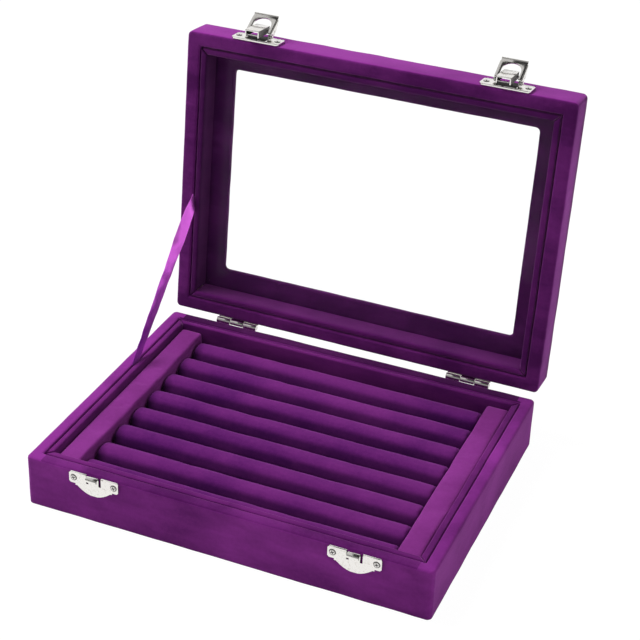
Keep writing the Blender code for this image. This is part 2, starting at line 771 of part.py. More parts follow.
def latch_plate(name, centre, lid):
    """A plate with two lugs, whose riveted studs carry the lever."""
    half = LATCH_WIDTH / 2
    bottom = LID_RIM + LATCH_RISE
    top = bottom + LATCH_HEIGHT
    outline = (
        (half - LATCH_CORNER, bottom), (half, bottom + LATCH_CORNER), (half, top - LATCH_CORNER),
        (half - LATCH_CORNER, top), (LATCH_CORNER - half, top), (-half, top - LATCH_CORNER),
        (-half, bottom + LATCH_CORNER), (LATCH_CORNER - half, bottom),
    )
    back = -HALF_DEPTH - PLATE_BACK
    bm = bmesh.new()
    prism(bm, [(centre + x, back, z) for x, z in outline], Vector((0, -SHEET, 0)))
    plate = make_part(name, bm, "nickel", lid)
    lugs = bmesh.new()
    root = -HALF_DEPTH - PLATE_BACK - SHEET / 2
    for side in (-1, 1):
        start = centre + side * LUG_INNER
        points = [(start, root, LEVER_PIVOT.z - LUG_FOOT / 2), (start, root, LEVER_PIVOT.z + LUG_FOOT / 2)]
        for step in range(CATCH_BELLY_SEGMENTS + 1):
            angle = math.pi * step / CATCH_BELLY_SEGMENTS
            points.append((
                start,
                LEVER_PIVOT.y - LUG_RADIUS * math.sin(angle),
                LEVER_PIVOT.z + LUG_RADIUS * math.cos(angle)))
        prism(lugs, points, Vector((side * LUG_SHEET, 0, 0)))
    outside = LEVER_FLANGE_OUTER + SEAT_GAP
    studs = bmesh.new()
    for side in (-1, 1):
        turned(studs, (
            (LEVER_PIN_RADIUS, LUG_OUTER - LUG_SHEET / 2),
            (LEVER_PIN_RADIUS, outside),
            (RIVET_HEAD_RADIUS, outside),
            (RIVET_HEAD_RADIUS / 2, outside + RIVET_HEAD),
        ), LEVER_PIVOT + Vector((centre, 0, 0)), Vector((side, 0, 0)), PIN_SEGMENTS)
    combine(plate, "UNION", make_tool(name + "_lugs", lugs, lid))
    combine(plate, "UNION", make_tool(name + "_studs", studs, lid))
    return plate


def lever_top(centre):
    """The lever's flat top with its arched window and the curled lip at its free end."""
    half = LEVER_FLANGE_OUTER - LEVER_SHEET / 2
    window = LEVER_WINDOW_WIDTH / 2
    arch_foot = LEVER_WINDOW_END - LEVER_ARCH_RISE
    arch = []
    for step in range(1, LEVER_ARCH_SEGMENTS):
        angle = math.pi * step / LEVER_ARCH_SEGMENTS
        arch.append((window * math.cos(angle), arch_foot + LEVER_ARCH_RISE * math.sin(angle)))
    outline = [
        (half, LEVER_HEEL), (half, LEVER_LENGTH), (-half, LEVER_LENGTH), (-half, LEVER_HEEL),
        (-window, LEVER_HEEL), (-window, arch_foot), *reversed(arch), (window, arch_foot),
        (window, LEVER_HEEL),
    ]
    bm = bmesh.new()
    under = -HALF_DEPTH - WEB_FACE + LEVER_SHEET
    prism(bm, [(centre + x, under, LEVER_PIVOT.z + z) for x, z in outline],
          Vector((0, -LEVER_SHEET, 0)))
    bmesh.ops.recalc_face_normals(bm, faces=bm.faces)
    end_height = LEVER_PIVOT.z + LEVER_LENGTH
    ends = [face for face in bm.faces if abs(face.calc_center_median().z - end_height) < PIN_GAP]
    curl_centre = Vector((centre, under - LEVER_SHEET - LEVER_LIP_RADIUS, end_height))
    curl_faces(bm, ends, curl_centre, LEVER_LIP_CURL, LEVER_LIP_STEPS)
    return bm


def lever_flanges(centre):
    """The lever's two side walls, round about the pivot, that carry both pins."""
    low = LEVER_PIVOT.y + LEVER_EYE_RADIUS
    high = -HALF_DEPTH - WEB_FACE + LEVER_SHOULDER
    end = LEVER_PIVOT.z + LEVER_LENGTH - LEVER_SHEET
    points = [(low, end - LEVER_ARCH_RISE), (high + LEVER_SHEET, end), (high, end),
              (high, LEVER_PIVOT.z + LEVER_HEEL + LEVER_SHOULDER)]
    for step in range(CATCH_BELLY_SEGMENTS + 1):
        angle = math.pi * step / CATCH_BELLY_SEGMENTS
        points.append((
            LEVER_PIVOT.y - LEVER_EYE_RADIUS * math.cos(angle),
            LEVER_PIVOT.z - LEVER_EYE_RADIUS * math.sin(angle)))
    bm = bmesh.new()
    for side in (-1, 1):
        start = centre + side * LEVER_FLANGE_INNER
        prism(bm, [(start, y, z) for y, z in points], Vector((side * LEVER_SHEET, 0, 0)))
    return bm


def latch_lever(name, centre, lever):
    reach = LEVER_FLANGE_OUTER + OVERRUN
    across = Vector((1, 0, 0))
    bores = bmesh.new()
    for pivot_point, radius in ((LEVER_PIVOT, LEVER_PIN_RADIUS), (LINK_PIVOT, LINK_PIN_RADIUS)):
        profile = ((radius + PIN_GAP, -reach), (radius + PIN_GAP, reach))
        turned(bores, profile, pivot_point + Vector((centre, 0, 0)), across, PIN_SEGMENTS)
    part = make_part(name, lever_top(centre), "nickel", lever)
    combine(part, "UNION", make_tool(name + "_flanges", lever_flanges(centre), lever))
    combine(part, "DIFFERENCE", make_tool(name + "_bores", bores, lever))


def latch_link(name, centre, link):
    """A channel that rides over the catch's tongue, with the bar that hooks under its curl."""
    half = LINK_WIDTH / 2
    inner = half - LINK_SHEET
    low = -HALF_DEPTH - PLATE_FACE - SEAT_GAP
    web_under = -HALF_DEPTH - WEB_BACK
    web_face = -HALF_DEPTH - WEB_FACE
    bottom = HOOKED_BAR_Z - LINK_NOSE
    top = LINK_PIVOT.z + LINK_TAIL
    outline = ((-half, low), (-half, web_face), (half, web_face), (half, low), (inner, low),
               (inner, web_under), (-inner, web_under), (-inner, low))
    bm = bmesh.new()
    prism(bm, [(centre + x, y, bottom) for x, y in outline], Vector((0, 0, top - bottom)))
    part = make_part(name, bm, "nickel", link)
    across = Vector((1, 0, 0))
    bar = bmesh.new()
    bar_half = half - LINK_SHEET / 2
    turned(bar, ((BAR_RADIUS, -bar_half), (BAR_RADIUS, bar_half)),
           Vector((centre, -HALF_DEPTH - CURL_OUT, HOOKED_BAR_Z)), across, TURNED_SEGMENTS)
    bore = bmesh.new()
    bore_radius = LINK_PIN_RADIUS + PIN_GAP
    turned(bore, ((bore_radius, -half - OVERRUN), (bore_radius, half + OVERRUN)),
           LINK_PIVOT + Vector((centre, 0, 0)), across, PIN_SEGMENTS)
    combine(part, "UNION", make_tool(name + "_bar", bar, link))
    combine(part, "DIFFERENCE", make_tool(name + "_bore", bore, link))


def link_pin(name, centre, lever):
    pin = bmesh.new()
    profile = ((LINK_PIN_RADIUS, -LEVER_FLANGE_OUTER), (LINK_PIN_RADIUS, LEVER_FLANGE_OUTER))
    turned(pin, profile, LINK_PIVOT + Vector((centre, 0, 0)), Vector((1, 0, 0)), PIN_SEGMENTS)
    make_part(name, pin, "nickel", lever)


def latches(lid, lid_walls):
    plates = []
    for label, side in (("left", -1), ("right", 1)):
        centre = side * FITTING_OFFSET
        lever = Pivot("lever_pivot_" + label, LEVER_PIVOT, LEVER_REST_ANGLE, lid)
        link = Pivot("link_pivot_" + label, LINK_PIVOT, -LEVER_REST_ANGLE, lever)
        plates.append(latch_plate("latch_plate_" + label, centre, lid))
        latch_lever("latch_lever_" + label, centre, lever)
        latch_link("latch_link_" + label, centre, link)
        link_pin("link_pin_" + label, centre, lever)
    places = screw_places(
        LATCH_SCREW_SPREAD, -HALF_DEPTH - PLATE_FACE, LID_RIM + LATCH_RISE + LATCH_HEIGHT / 2)
    fit_screws("latch", places, Vector((0, -1, 0)), plates + lid_walls, lid)


def stay_ribbon():
    """A flat ribbon pulled straight between the two grooves, turned to the front half way."""
    open_lid = (Matrix.Translation(HINGE_POINT) @ Matrix.Rotation(-LID_OPEN_ANGLE, 4, "X")
                @ Matrix.Translation(-HINGE_POINT))
    low = Vector((GROOVE_WIDTH / 2 + BASE_WALL - HALF_WIDTH, RIBBON_BASE_Y, BASE_HEIGHT))
    high = open_lid @ Vector((GROOVE_WIDTH / 2 + LID_WALL - HALF_WIDTH, RIBBON_LID_Y, LID_RIM))
    flat = Vector((1, 0, 0))
    along = (high - low).normalized()
    along.x = 0
    start, end = low - along * RIBBON_TUCK, high + along * RIBBON_TUCK
    rings = []
    for station in range(RIBBON_STATIONS + 1):
        share = station / RIBBON_STATIONS
        centre = low.lerp(high, share)
        turn = RIBBON_TWIST * math.sin(math.pi * share)
        normal = Matrix.Rotation(turn, 3, along) @ flat
        rings.append((centre, normal))
    rings = [(start, flat)] + rings + [(end, flat)]
    bm = bmesh.new()
    corners = []
    for centre, normal in rings:
        thick = normal * RIBBON_THICKNESS / 2
        wide = normal.cross(along).normalized() * RIBBON_WIDTH / 2
        corners.append([centre + thick + wide, centre + thick - wide,
                        centre - thick - wide, centre - thick + wide])
    bridge(bm, corners, closed=False)
    bmesh.ops.triangulate(bm, faces=bm.faces)
    make_part("stay_ribbon", bm, "satin")


def main():
    clear_scene()
    lid = Pivot("lid_pivot", HINGE_POINT, -LID_OPEN_ANGLE)
    base_walls = base_box()
    lid_walls = lid_box(lid)
    ring_rolls()
    end_bars()
    hinges(lid, base_walls, lid_walls)
    catches(base_walls)
    latches(lid, lid_walls)
    stay_ribbon()


main()
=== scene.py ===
"""Ring box with clear lid: velvet over boards, padded ring rolls, draw latches, stay ribbon."""
import math

import bmesh
import bpy
import numpy as np
from mathutils import Matrix, Vector, noise


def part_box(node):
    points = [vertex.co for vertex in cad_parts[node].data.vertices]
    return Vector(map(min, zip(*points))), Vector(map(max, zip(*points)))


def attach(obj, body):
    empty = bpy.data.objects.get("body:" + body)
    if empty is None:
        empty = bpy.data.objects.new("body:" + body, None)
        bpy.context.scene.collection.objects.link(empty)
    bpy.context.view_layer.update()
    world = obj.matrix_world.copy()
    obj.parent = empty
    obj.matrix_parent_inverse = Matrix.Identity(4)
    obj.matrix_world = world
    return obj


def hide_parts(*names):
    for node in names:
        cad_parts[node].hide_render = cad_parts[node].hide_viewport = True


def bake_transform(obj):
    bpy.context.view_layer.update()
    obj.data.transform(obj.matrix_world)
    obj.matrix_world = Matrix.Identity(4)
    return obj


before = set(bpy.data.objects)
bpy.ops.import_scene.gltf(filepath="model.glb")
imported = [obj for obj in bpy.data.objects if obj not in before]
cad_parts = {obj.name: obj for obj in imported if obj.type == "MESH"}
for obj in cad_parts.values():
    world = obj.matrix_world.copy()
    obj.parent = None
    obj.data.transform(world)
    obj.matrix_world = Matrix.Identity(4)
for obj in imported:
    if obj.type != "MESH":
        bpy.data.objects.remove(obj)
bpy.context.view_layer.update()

MM = 0.001

# Camera, solved from the box's corners
CAMERA_PLACE = Vector((257.2, -612.7, 474.6)) * MM
CAMERA_TARGET = Vector((-0.5, 35.1, 67.1)) * MM
CAMERA_ROLL = math.radians(2.25)
CAMERA_LENS = 94.07

# Light that comes from all round, and how bright reflections show the ceiling and the front
AMBIENT = 0.22
CEILING = 0.04
LEFT_CEILING = 0.62
FRONT_WALL = 0.3

# Directions, from and to, over which a reflection passes from one part of the room to the next
LEFT_CEILING_ENDS = (-0.30, -0.26)
FRONT_WALL_ENDS = (-0.55, -0.15)
CEILING_BEGINS = (0.56, 0.74)

# Lamps: the point that they face; floor: how bright it is seen, and how much of that is its glow
LAMP_AIM = Vector((0, 0, 0.05))
FLOOR_GLOW, FLOOR_GLOW_SHARE = 1.04, 0.94

# The lid is modelled shut and swung open about the hinge line
HINGE = Vector((0, 76.8, 26.65)) * MM
LID_OPEN = (Matrix.Translation(HINGE) @ Matrix.Rotation(math.radians(-96), 4, "X")
            @ Matrix.Translation(-HINGE))

# Box, in millimetres
HALF_WIDTH, HALF_DEPTH = 100.0, 75.0
BASE_TOP, LID_RIM, LID_TOP = 26.5, 26.8, 45.0
CORNER = 2.4
CREASE = 0.6
CLOTH = 0.4
BASE_WALL, LID_WALL = 5.8, 6.8
BASE_LINER = (6.6, 9.4)
LID_LINER = (7.6, 10.6)
WINDOW = 20.0
FLANGE = 41.8
FLANGE_TURN_IN = 8.0
LINER_FOOT, LINER_TOP = 3.8, 26.3
LID_LINER_RIM, LID_LINER_TOP = 27.0, 39.2
LINER_ROUND = 0.9
MITRE_GAP = 0.3
GROOVE_CLOSED = 0.45

# Covers: how far the cloth is turned in at each edge, where it ends below, and its folds' radii
BASE_TURN_IN, LID_TURN_IN, FOOT_TURN_IN = 12.0, 10.0, 3.6
COVER_FOOT = 0.1
BASE_FOLDS, LID_FOLDS = (1.0, 1.3, 0.8), (1.0, 1.0, 1.2, 1.2, 1.0)

# How near to its ends, and to a liner's long edges, a piece is cut to follow soft unevenness
UNCUT, LINER_UNCUT, LINER_EDGE = 3.0, 12.0, 1.2

# Nap and painted light: how light the velvet is painted on each strip of cloth, partly for the lay
# of its pile and partly as painted light and shade; from what height up the lid's walls the velvet
# is painted darker as painted shade, and by how much its liners are painted lighter at the rim
BASE_NAP_AND_LIGHT = {"left rim": 0.45, "right rim": 0.10, "front rim": -0.18, "rear rim": -0.34,
            "right wall": 0.20, "walls": 0.10}
LID_NAP_AND_LIGHT = {"rim": -0.18, "right rim": -0.20, "front wall": 0.36, "upper walls": -0.34,
           "rest": 0.0}
BASE_LINER_NAP_AND_LIGHT = {"left": 0.3, "top": -0.05, "side": -0.1}
LID_LINER_PAINTED_SHADE = {"front": -0.3, "right": -0.25, "back": -0.12, "left": -0.34}
UPPER_WALLS = 38.0
RIM_PAINTED_LIGHT = 0.1

# Pads
PAD_MARGIN = 0.25
PAD_CLEARANCE = 0.05
ROLL_FLANK = 0.6
ROLL_CELL, BAR_CELL = 1.4, 1.1
ROLL_END, BAR_EDGE = 1.3, 1.0
STUFFING_FRAMES = 20
LUMP_SIZE, LUMP_DEPTH = 16.0, 0.16
# How far down a pad's flank its painted shade deepens, and how far from its left end its painted
# shadow reaches
FALL_ENDS, DARK_END = 2.6, 6.0

# Fittings: their middles, their screws' spread and heights, a latch's lugs, a catch's tongue
FITTING = 64.0
PLATE_SPREAD, LEAF_SPREAD = 10.3, 8.0
SCREW_DEPTH = 76.1
CATCH_SCREW, LATCH_SCREW = 23.3, 31.9
LEAF_SCREW, LID_LEAF_SCREW = 21.15, 32.15
LUG_REACH = 5.2
LUG_FOOT = 28.2
TONGUE_HALF, TONGUE_FOOT = 2.65, 23.5
TONGUE_RISE, TONGUE_SPREAD_SHARE = 0.35, 0.09

# Screw: its head's radius, depth, and the width and rise of its rim and of its crown
SCREW_RADIUS, SCREW_HEAD = 1.5, 0.6
RIM_WIDTH, RIM_RISE, CROWN_WIDTH, CROWN_RISE = 0.28, 0.18, 0.5, 0.08

# Its shank, and the cross recess: half of an arm's length and width, its foot, top and turn
SCREW_SHANK, SHANK_SHARE, TIP_SHARE = 3.2, 0.62, 0.75
ARM_LENGTH, ARM_WIDTH, ARM_FOOT, ARM_TOP = 0.95, 0.2, 0.05, 1.2
ARM_TURN = 0.35

# Ribbon: its two ends, the lid's one still in the shut lid's frame, its width and its cloth, and
# the share of its length that is tucked in at each end
RIBBON_LOW = Vector((-93.8, 20.0, 26.5)) * MM
RIBBON_HIGH = Vector((-92.8, 14.0, 26.8)) * MM
RIBBON_WIDTH, RIBBON_CLOTH = 6.0, 0.22
RIBBON_TUCK = 0.03
RIBBON_RIPPLE, RIBBON_CURL, RIBBON_LIFT = 0.35, 0.5, 0.2

# Ribbon: by how many degrees it is turned to the front, at shares of its length
RIBBON_TURNS = ((-0.05, 0), (0, -3), (0.10, -7), (0.25, -11), (0.37, -18), (0.50, -20), (0.62, -22),
                (0.68, -32), (0.75, -46), (0.85, -42), (0.93, -26), (1.0, -5), (1.05, 0))

# Painted shade: the velvet's colour in its deepest painted shade, and the metal's in its recesses
# and under its parts
PAINTED_VELVET_SHADE = (0.006, 0.001, 0.008, 1)
PAINTED_METAL_SHADE = (0.012, 0.011, 0.010, 1)


# Modelling

def take(*items):
    """Selects these objects alone, so that an operator acts on nothing else."""
    bpy.ops.object.select_all(action="DESELECT")
    for item in items:
        item.select_set(True)
    bpy.context.view_layer.objects.active = items[0]


def block(name, low, high):
    """A cube stretched between two corners given in millimetres."""
    bpy.ops.object.select_all(action="DESELECT")
    low, high = Vector(low) * MM, Vector(high) * MM
    bpy.ops.mesh.primitive_cube_add(size=1, location=(low + high) / 2)
    item = bpy.context.object
    item.scale = high - low
    bpy.ops.object.transform_apply(location=True, rotation=True, scale=True)
    item.name = item.data.name = name
    return item


def pick(item, kind, test):
    """In edit mode, selects the corners, edges or faces that pass a test, and nothing else."""
    bpy.ops.mesh.select_mode(type=kind)
    bpy.ops.mesh.select_all(action="DESELECT")
    mesh = bmesh.from_edit_mesh(item.data)
    mesh.normal_update()
    for part in {"VERT": mesh.verts, "EDGE": mesh.edges, "FACE": mesh.faces}[kind]:
        if test(part):
            part.select_set(True)
    bmesh.update_edit_mesh(item.data)


def ends_pass(edge, test):
    return all(test(vert.co / MM) for vert in edge.verts)


def round_edges(item, test, radius, segments):
    """Rounds the edges whose two ends both pass a test; the radius is in millimetres."""
    pick(item, "EDGE", lambda edge: ends_pass(edge, test))
    bpy.ops.mesh.bevel(offset=radius * MM, segments=segments, profile=0.5, affect="EDGES")


def slice_along(item, axis, places):
    """Cuts a mesh all round at places along an axis, so that it can follow soft unevenness."""
    normal = Vector((0, 0, 0))
    normal[axis] = 1
    for place in places:
        bpy.ops.mesh.select_all(action="SELECT")
        bpy.ops.mesh.bisect(plane_co=normal * place * MM, plane_no=normal)


def close_seams():
    """In edit mode, merges corners that lie on each other and turns all faces outwards."""
    bpy.ops.mesh.select_all(action="SELECT")
    bpy.ops.mesh.remove_doubles(threshold=0.01 * MM)
    bpy.ops.mesh.normals_make_consistent(inside=False)


def apply_all(item):
    take(item)
    for modifier in list(item.modifiers):
        bpy.ops.object.modifier_apply(modifier=modifier.name)


def uneven(item, size, depth, shift=0.0):
    """Moves the surface in and out a little, as cloth lies over glue and board; in millimetres."""
    normals = [vert.normal.copy() for vert in item.data.vertices]
    for vert, normal in zip(item.data.vertices, normals):
        place = vert.co / (size * MM) + Vector((shift, shift * 0.7, -shift))
        vert.co += normal * (noise.noise(place) * depth * MM)


def smooth(item, angle=40):
    take(item)
    bpy.ops.object.shade_smooth_by_angle(angle=math.radians(angle))


def span(low, high, count):
    return [low + (high - low) * step / count for step in range(1, count)]


def paint(item, name, value_of):
    """Stores a number on each face, worked out from its middle and normal, for its material."""
    layer = item.data.attributes.new(name, "FLOAT", "FACE")
    for face in item.data.polygons:
        layer.data[face.index].value = value_of(face.center / MM, face.normal)


def finish_piece(item, material, body, slot, *nodes):
    item.data.materials.clear()
    item.data.materials.append(material)
    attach(item, body)
    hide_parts(*nodes)


# Velvet covers

def rounded_run(corners, radii, segments, longest):
    """An open run of insets and heights: its corners rounded, its long stretches divided."""
    corners = [Vector(corner) for corner in corners]
    run = [corners[0]]
    for before, corner, after, radius in zip(corners, corners[1:], corners[2:], radii):
        back, ahead = (before - corner).normalized(), (after - corner).normalized()
        centre = corner + (back + ahead) * radius
        for step in range(segments + 1):
            angle = step / segments * math.pi / 2
            run.append(centre - ahead * radius * math.cos(angle) - back * radius * math.sin(angle))
    run.append(corners[-1])
    divided = [run[0]]
    for one, other in zip(run, run[1:]):
        parts = max(1, math.ceil((other - one).length / longest))
        divided += [one.lerp(other, step / parts) for step in range(1, parts + 1)]
    return divided


def cloth_section(corners, radii):
    """Closed section of a cloth: its seen side, then its back a cloth's thickness behind."""
    seen = rounded_run(corners, radii, segments=5, longest=4.0)
    back = []
    for index, point in enumerate(seen):
        step = seen[min(index + 1, len(seen) - 1)] - seen[max(index - 1, 0)]
        back.append(point + Vector((-step.y, step.x)).normalized() * CLOTH)
    return seen + back[::-1]


def wall_corner(inset):
    return max(CORNER - inset, CREASE)


def window_corner(inset):
    share = min(max(inset - LID_WALL, 0) / (WINDOW - LID_WALL), 1)
    return wall_corner(inset) + (CORNER - CREASE) * share


def frame_of_cloth(name, section, corner_at):
    """A cloth all round the box: one rounded outline, extruded from point to point of a section."""
    first = section[0]
    bpy.ops.object.select_all(action="DESELECT")
    bpy.ops.mesh.primitive_plane_add(size=2, location=(0, 0, first.y * MM))
    item = bpy.context.object
    item.name = item.data.name = name
    item.scale = Vector((HALF_WIDTH - first.x, HALF_DEPTH - first.x, 1)) * MM
    bpy.ops.object.transform_apply(location=True, rotation=True, scale=True)
    bpy.ops.object.mode_set(mode="EDIT")
    bpy.ops.mesh.select_all(action="SELECT")
    bpy.ops.mesh.bevel(
        offset=corner_at(first.x) * MM, segments=8, profile=0.5, affect="VERTICES")
    bpy.ops.mesh.delete(type="ONLY_FACE")
    bpy.ops.mesh.select_mode(type="EDGE")
    bpy.ops.mesh.select_all(action="SELECT")
    for last, point in zip(section, section[1:]):
        bpy.ops.mesh.extrude_edges_move()
        carry_outline(item, last.x, point, corner_at)
    pick(item, "EDGE", lambda edge: edge.is_boundary)
    bpy.ops.mesh.bridge_edge_loops()
    return item


def carry_outline(item, last_inset, point, corner_at):
    """Moves the selected outline to another inset and height, with the corners it has there."""
    mesh = bmesh.from_edit_mesh(item.data)
    last_radius, radius = corner_at(last_inset), corner_at(point.x)
    for vert in mesh.verts:
        if not vert.select:
            continue
        place = vert.co / MM
        sides = Vector((math.copysign(1, place.x), math.copysign(1, place.y)))
        last_centre = Vector((HALF_WIDTH, HALF_DEPTH)) - Vector((1, 1)) * (last_inset + last_radius)
        centre = Vector((HALF_WIDTH, HALF_DEPTH)) - Vector((1, 1)) * (point.x + radius)
        out = Vector((abs(place.x), abs(place.y))) - last_centre
        out = out.normalized() * radius
        vert.co = Vector((sides.x * (centre.x + out.x), sides.y * (centre.y + out.y), point.y)) * MM
    bmesh.update_edit_mesh(item.data)


def soften_cloth(item, shift):
    """Cuts the long stretches and lets the velvet lie a little uneven over its boards."""
    slice_along(item, 0, span(UNCUT - HALF_WIDTH, HALF_WIDTH - UNCUT, 40))
    slice_along(item, 1, span(UNCUT - HALF_DEPTH, HALF_DEPTH - UNCUT, 30))
    close_seams()
    bpy.ops.object.mode_set(mode="OBJECT")
    uneven(item, size=14, depth=0.16, shift=shift)
    uneven(item, size=5, depth=0.05, shift=shift + 3)


def base_nap_and_light(place, normal):
    """Painted light and shade by which way each face turns, with the pile leaning another way on
    each strip of cloth.
    """
    if normal.z > 0.5:
        if place.x < 1 - HALF_WIDTH + BASE_WALL:
            return BASE_NAP_AND_LIGHT["left rim"]
        if place.x > HALF_WIDTH - BASE_WALL - 1:
            return BASE_NAP_AND_LIGHT["right rim"]
        return BASE_NAP_AND_LIGHT["front rim" if place.y < 0 else "rear rim"]
    return BASE_NAP_AND_LIGHT["right wall" if normal.x > 0.5 else "walls"]


# Painted shade on the lid cover's rims and high up its walls inside, and painted light on its front
# wall, which faces up when the lid is open
def lid_nap_and_light(place, normal):
    if normal.z < -0.5 and place.z < LID_RIM + 2:
        return LID_NAP_AND_LIGHT["rim" if place.x < HALF_WIDTH - LID_WALL else "right rim"]
    if normal.y < -0.5 and place.y < 1 - HALF_DEPTH:
        return LID_NAP_AND_LIGHT["front wall"]
    upper = UPPER_WALLS < place.z < LID_TOP - 1 and normal.z < 0.5
    return LID_NAP_AND_LIGHT["upper walls" if upper else "rest"]


def base_cover(material):
    """Velvet pulled over the base's walls, down into the groove and under the bottom."""
    item = frame_of_cloth("base_cover", cloth_section(
        ((BASE_WALL, BASE_TOP - BASE_TURN_IN), (BASE_WALL, BASE_TOP), (0, BASE_TOP),
         (0, COVER_FOOT), (FOOT_TURN_IN, COVER_FOOT)),
        BASE_FOLDS), wall_corner)
    soften_cloth(item, 0)
    paint(item, "nap_and_painted_light", base_nap_and_light)
    smooth(item)
    finish_piece(item, material, "base", "velvet", "base_velvet_cover")


def lid_cover(material):
    """Velvet round the lid's walls, over the window frame and in behind the pane."""
    item = frame_of_cloth("lid_cover", cloth_section(
        ((FLANGE_TURN_IN, FLANGE), (WINDOW, FLANGE), (WINDOW, LID_TOP), (0, LID_TOP), (0, LID_RIM),
         (LID_WALL, LID_RIM), (LID_WALL, LID_RIM + LID_TURN_IN)),
        LID_FOLDS), window_corner)
    soften_cloth(item, 9)
    paint(item, "nap_and_painted_light", lid_nap_and_light)
    item.data.transform(LID_OPEN)
    smooth(item)
    finish_piece(item, material, "lid", "velvet", "lid_velvet_cover")


def liner(name, turn, insets, bottom, top, rounded_top, shift):
    """One strip of covered board behind the groove, with mitred ends."""
    outer, inner = insets
    across, along = (HALF_DEPTH, HALF_WIDTH) if turn % 2 == 0 else (HALF_WIDTH, HALF_DEPTH)
    item = block(name, (outer - along, outer - across, bottom),
                 (along - outer, inner - across, top))
    bpy.ops.object.mode_set(mode="EDIT")
    for side in (-1, 1):
        bpy.ops.mesh.select_all(action="SELECT")
        corner = Vector((side * (along - outer - MITRE_GAP), outer - across, 0)) * MM
        bpy.ops.mesh.bisect(plane_co=corner, plane_no=(side, 1, 0), clear_outer=True, use_fill=True)
    edge_height = top if rounded_top else bottom
    round_edges(item, lambda p: abs(p.z - edge_height) < 0.01, LINER_ROUND, segments=5)
    slice_along(item, 0, span(LINER_UNCUT - along, along - LINER_UNCUT, 26))
    slice_along(item, 2, span(bottom + LINER_EDGE, top - LINER_EDGE, 5))
    bpy.ops.object.mode_set(mode="OBJECT")
    uneven(item, size=9, depth=0.10, shift=shift)
    item.data.transform(Matrix.Rotation(turn * math.pi / 2, 4, "Z"))
    smooth(item)
    return item


# Painted light on the liners' tops in the box's left half, and a little painted shade on their
# other tops and on their sides
def base_liner_nap_and_light(place, normal):
    if normal.z <= 0.5:
        return BASE_LINER_NAP_AND_LIGHT["side"]
    return BASE_LINER_NAP_AND_LIGHT["left" if normal.x < -0.5 or place.x < 0 else "top"]


def lid_liner_painted_shade(side):
    """Painted shade of the lid's liner on one side, face by face, with painted light on its faces
    at the rim.
    """
    shade_of_side = LID_LINER_PAINTED_SHADE[side]
    return lambda place, normal: shade_of_side + (RIM_PAINTED_LIGHT if normal.z < -0.5 else 0.0)


def liners(material):
    """Eight covered boards; the base's front and right ones stand nearer to its walls."""
    for turn, side in enumerate(("front", "right", "back", "left")):
        closed = GROOVE_CLOSED if side in ("front", "right") else 0
        insets = (BASE_LINER[0] - closed, BASE_LINER[1])
        item = liner("base_lining_" + side, turn, insets, LINER_FOOT, LINER_TOP, True, turn)
        paint(item, "nap_and_painted_light", base_liner_nap_and_light)
        finish_piece(item, material, "base", "velvet", "base_liner_" + side)
        item = liner("lid_lining_" + side, turn, LID_LINER, LID_LINER_RIM, LID_LINER_TOP, False,
                     turn + 7)
        paint(item, "nap_and_painted_light", lid_liner_painted_shade(side))
        item.data.transform(LID_OPEN)
        finish_piece(item, material, "lid", "velvet", "lid_liner_" + side)


# Padding

def coordinates(mesh):
    flat = np.empty(len(mesh.vertices) * 3)
    mesh.vertices.foreach_get("co", flat)
    return flat.reshape(-1, 3)


def stuff(item, pressure, cap, shrink):
    """Swells the piece as cloth round stuffing, its foot held, no point moving further than cap."""
    before = coordinates(item.data)
    foot = item.vertex_groups.new(name="foot")
    low = before[:, 2].min()
    foot.add([int(i) for i in np.flatnonzero(before[:, 2] < low + 1.2 * MM)], 1.0, "REPLACE")
    cloth = item.modifiers.new("stuffing", "CLOTH")
    settings = cloth.settings
    settings.quality = 6
    settings.mass = 0.12
    settings.tension_stiffness = settings.compression_stiffness = 12
    settings.shear_stiffness = 6
    settings.bending_stiffness = 0.3
    settings.use_pressure = True
    settings.uniform_pressure_force = pressure
    settings.shrink_min = shrink
    settings.vertex_group_mass = "foot"
    settings.effector_weights.gravity = 0
    cloth.point_cache.frame_start, cloth.point_cache.frame_end = 1, STUFFING_FRAMES
    for step in range(1, STUFFING_FRAMES + 1):
        bpy.context.scene.frame_set(step)
    swollen = item.evaluated_get(bpy.context.evaluated_depsgraph_get())
    after = coordinates(swollen.data)
    item.modifiers.remove(cloth)
    item.vertex_groups.remove(foot)
    moved = after - before
    length = np.linalg.norm(moved, axis=1, keepdims=True)
    moved *= np.minimum(1, cap * MM / np.maximum(length, 1e-9))
    item.data.vertices.foreach_set("co", (before + moved).ravel())
    bpy.context.scene.frame_set(1)


def stay_in(item, low, high):
    """Keeps every point inside the room that the piece has between its neighbours."""
    places = np.clip(coordinates(item.data), np.array(low), np.array(high))
    item.data.vertices.foreach_set("co", places.ravel())
    item.data.update()


def past(side, axis, middle, reach, height):
    """A test: whether a point lies past a reach on one side of the middle, above a height."""
    return lambda place: side * (place[axis] - middle[axis]) > reach and place.z > height


def paint_pad_light(item, low, high, lift, painted_flank_shade, shade):
    """Painted light and shade of a pad: lightest at its crest, a painted shade deepening down its
    flanks, and a painted shadow of the end bar towards its left end.
    """
    places = coordinates(item.data)
    fall = np.clip((high.z - places[:, 2]) / MM, 0, FALL_ENDS)
    near_end = 1 - np.clip((places[:, 0] - low.x) / (DARK_END * MM), 0, 1)
    layer = item.data.attributes.new("nap_and_painted_light", "FLOAT", "POINT")
    layer.data.foreach_set("value", lift - painted_flank_shade * fall - shade * near_end)


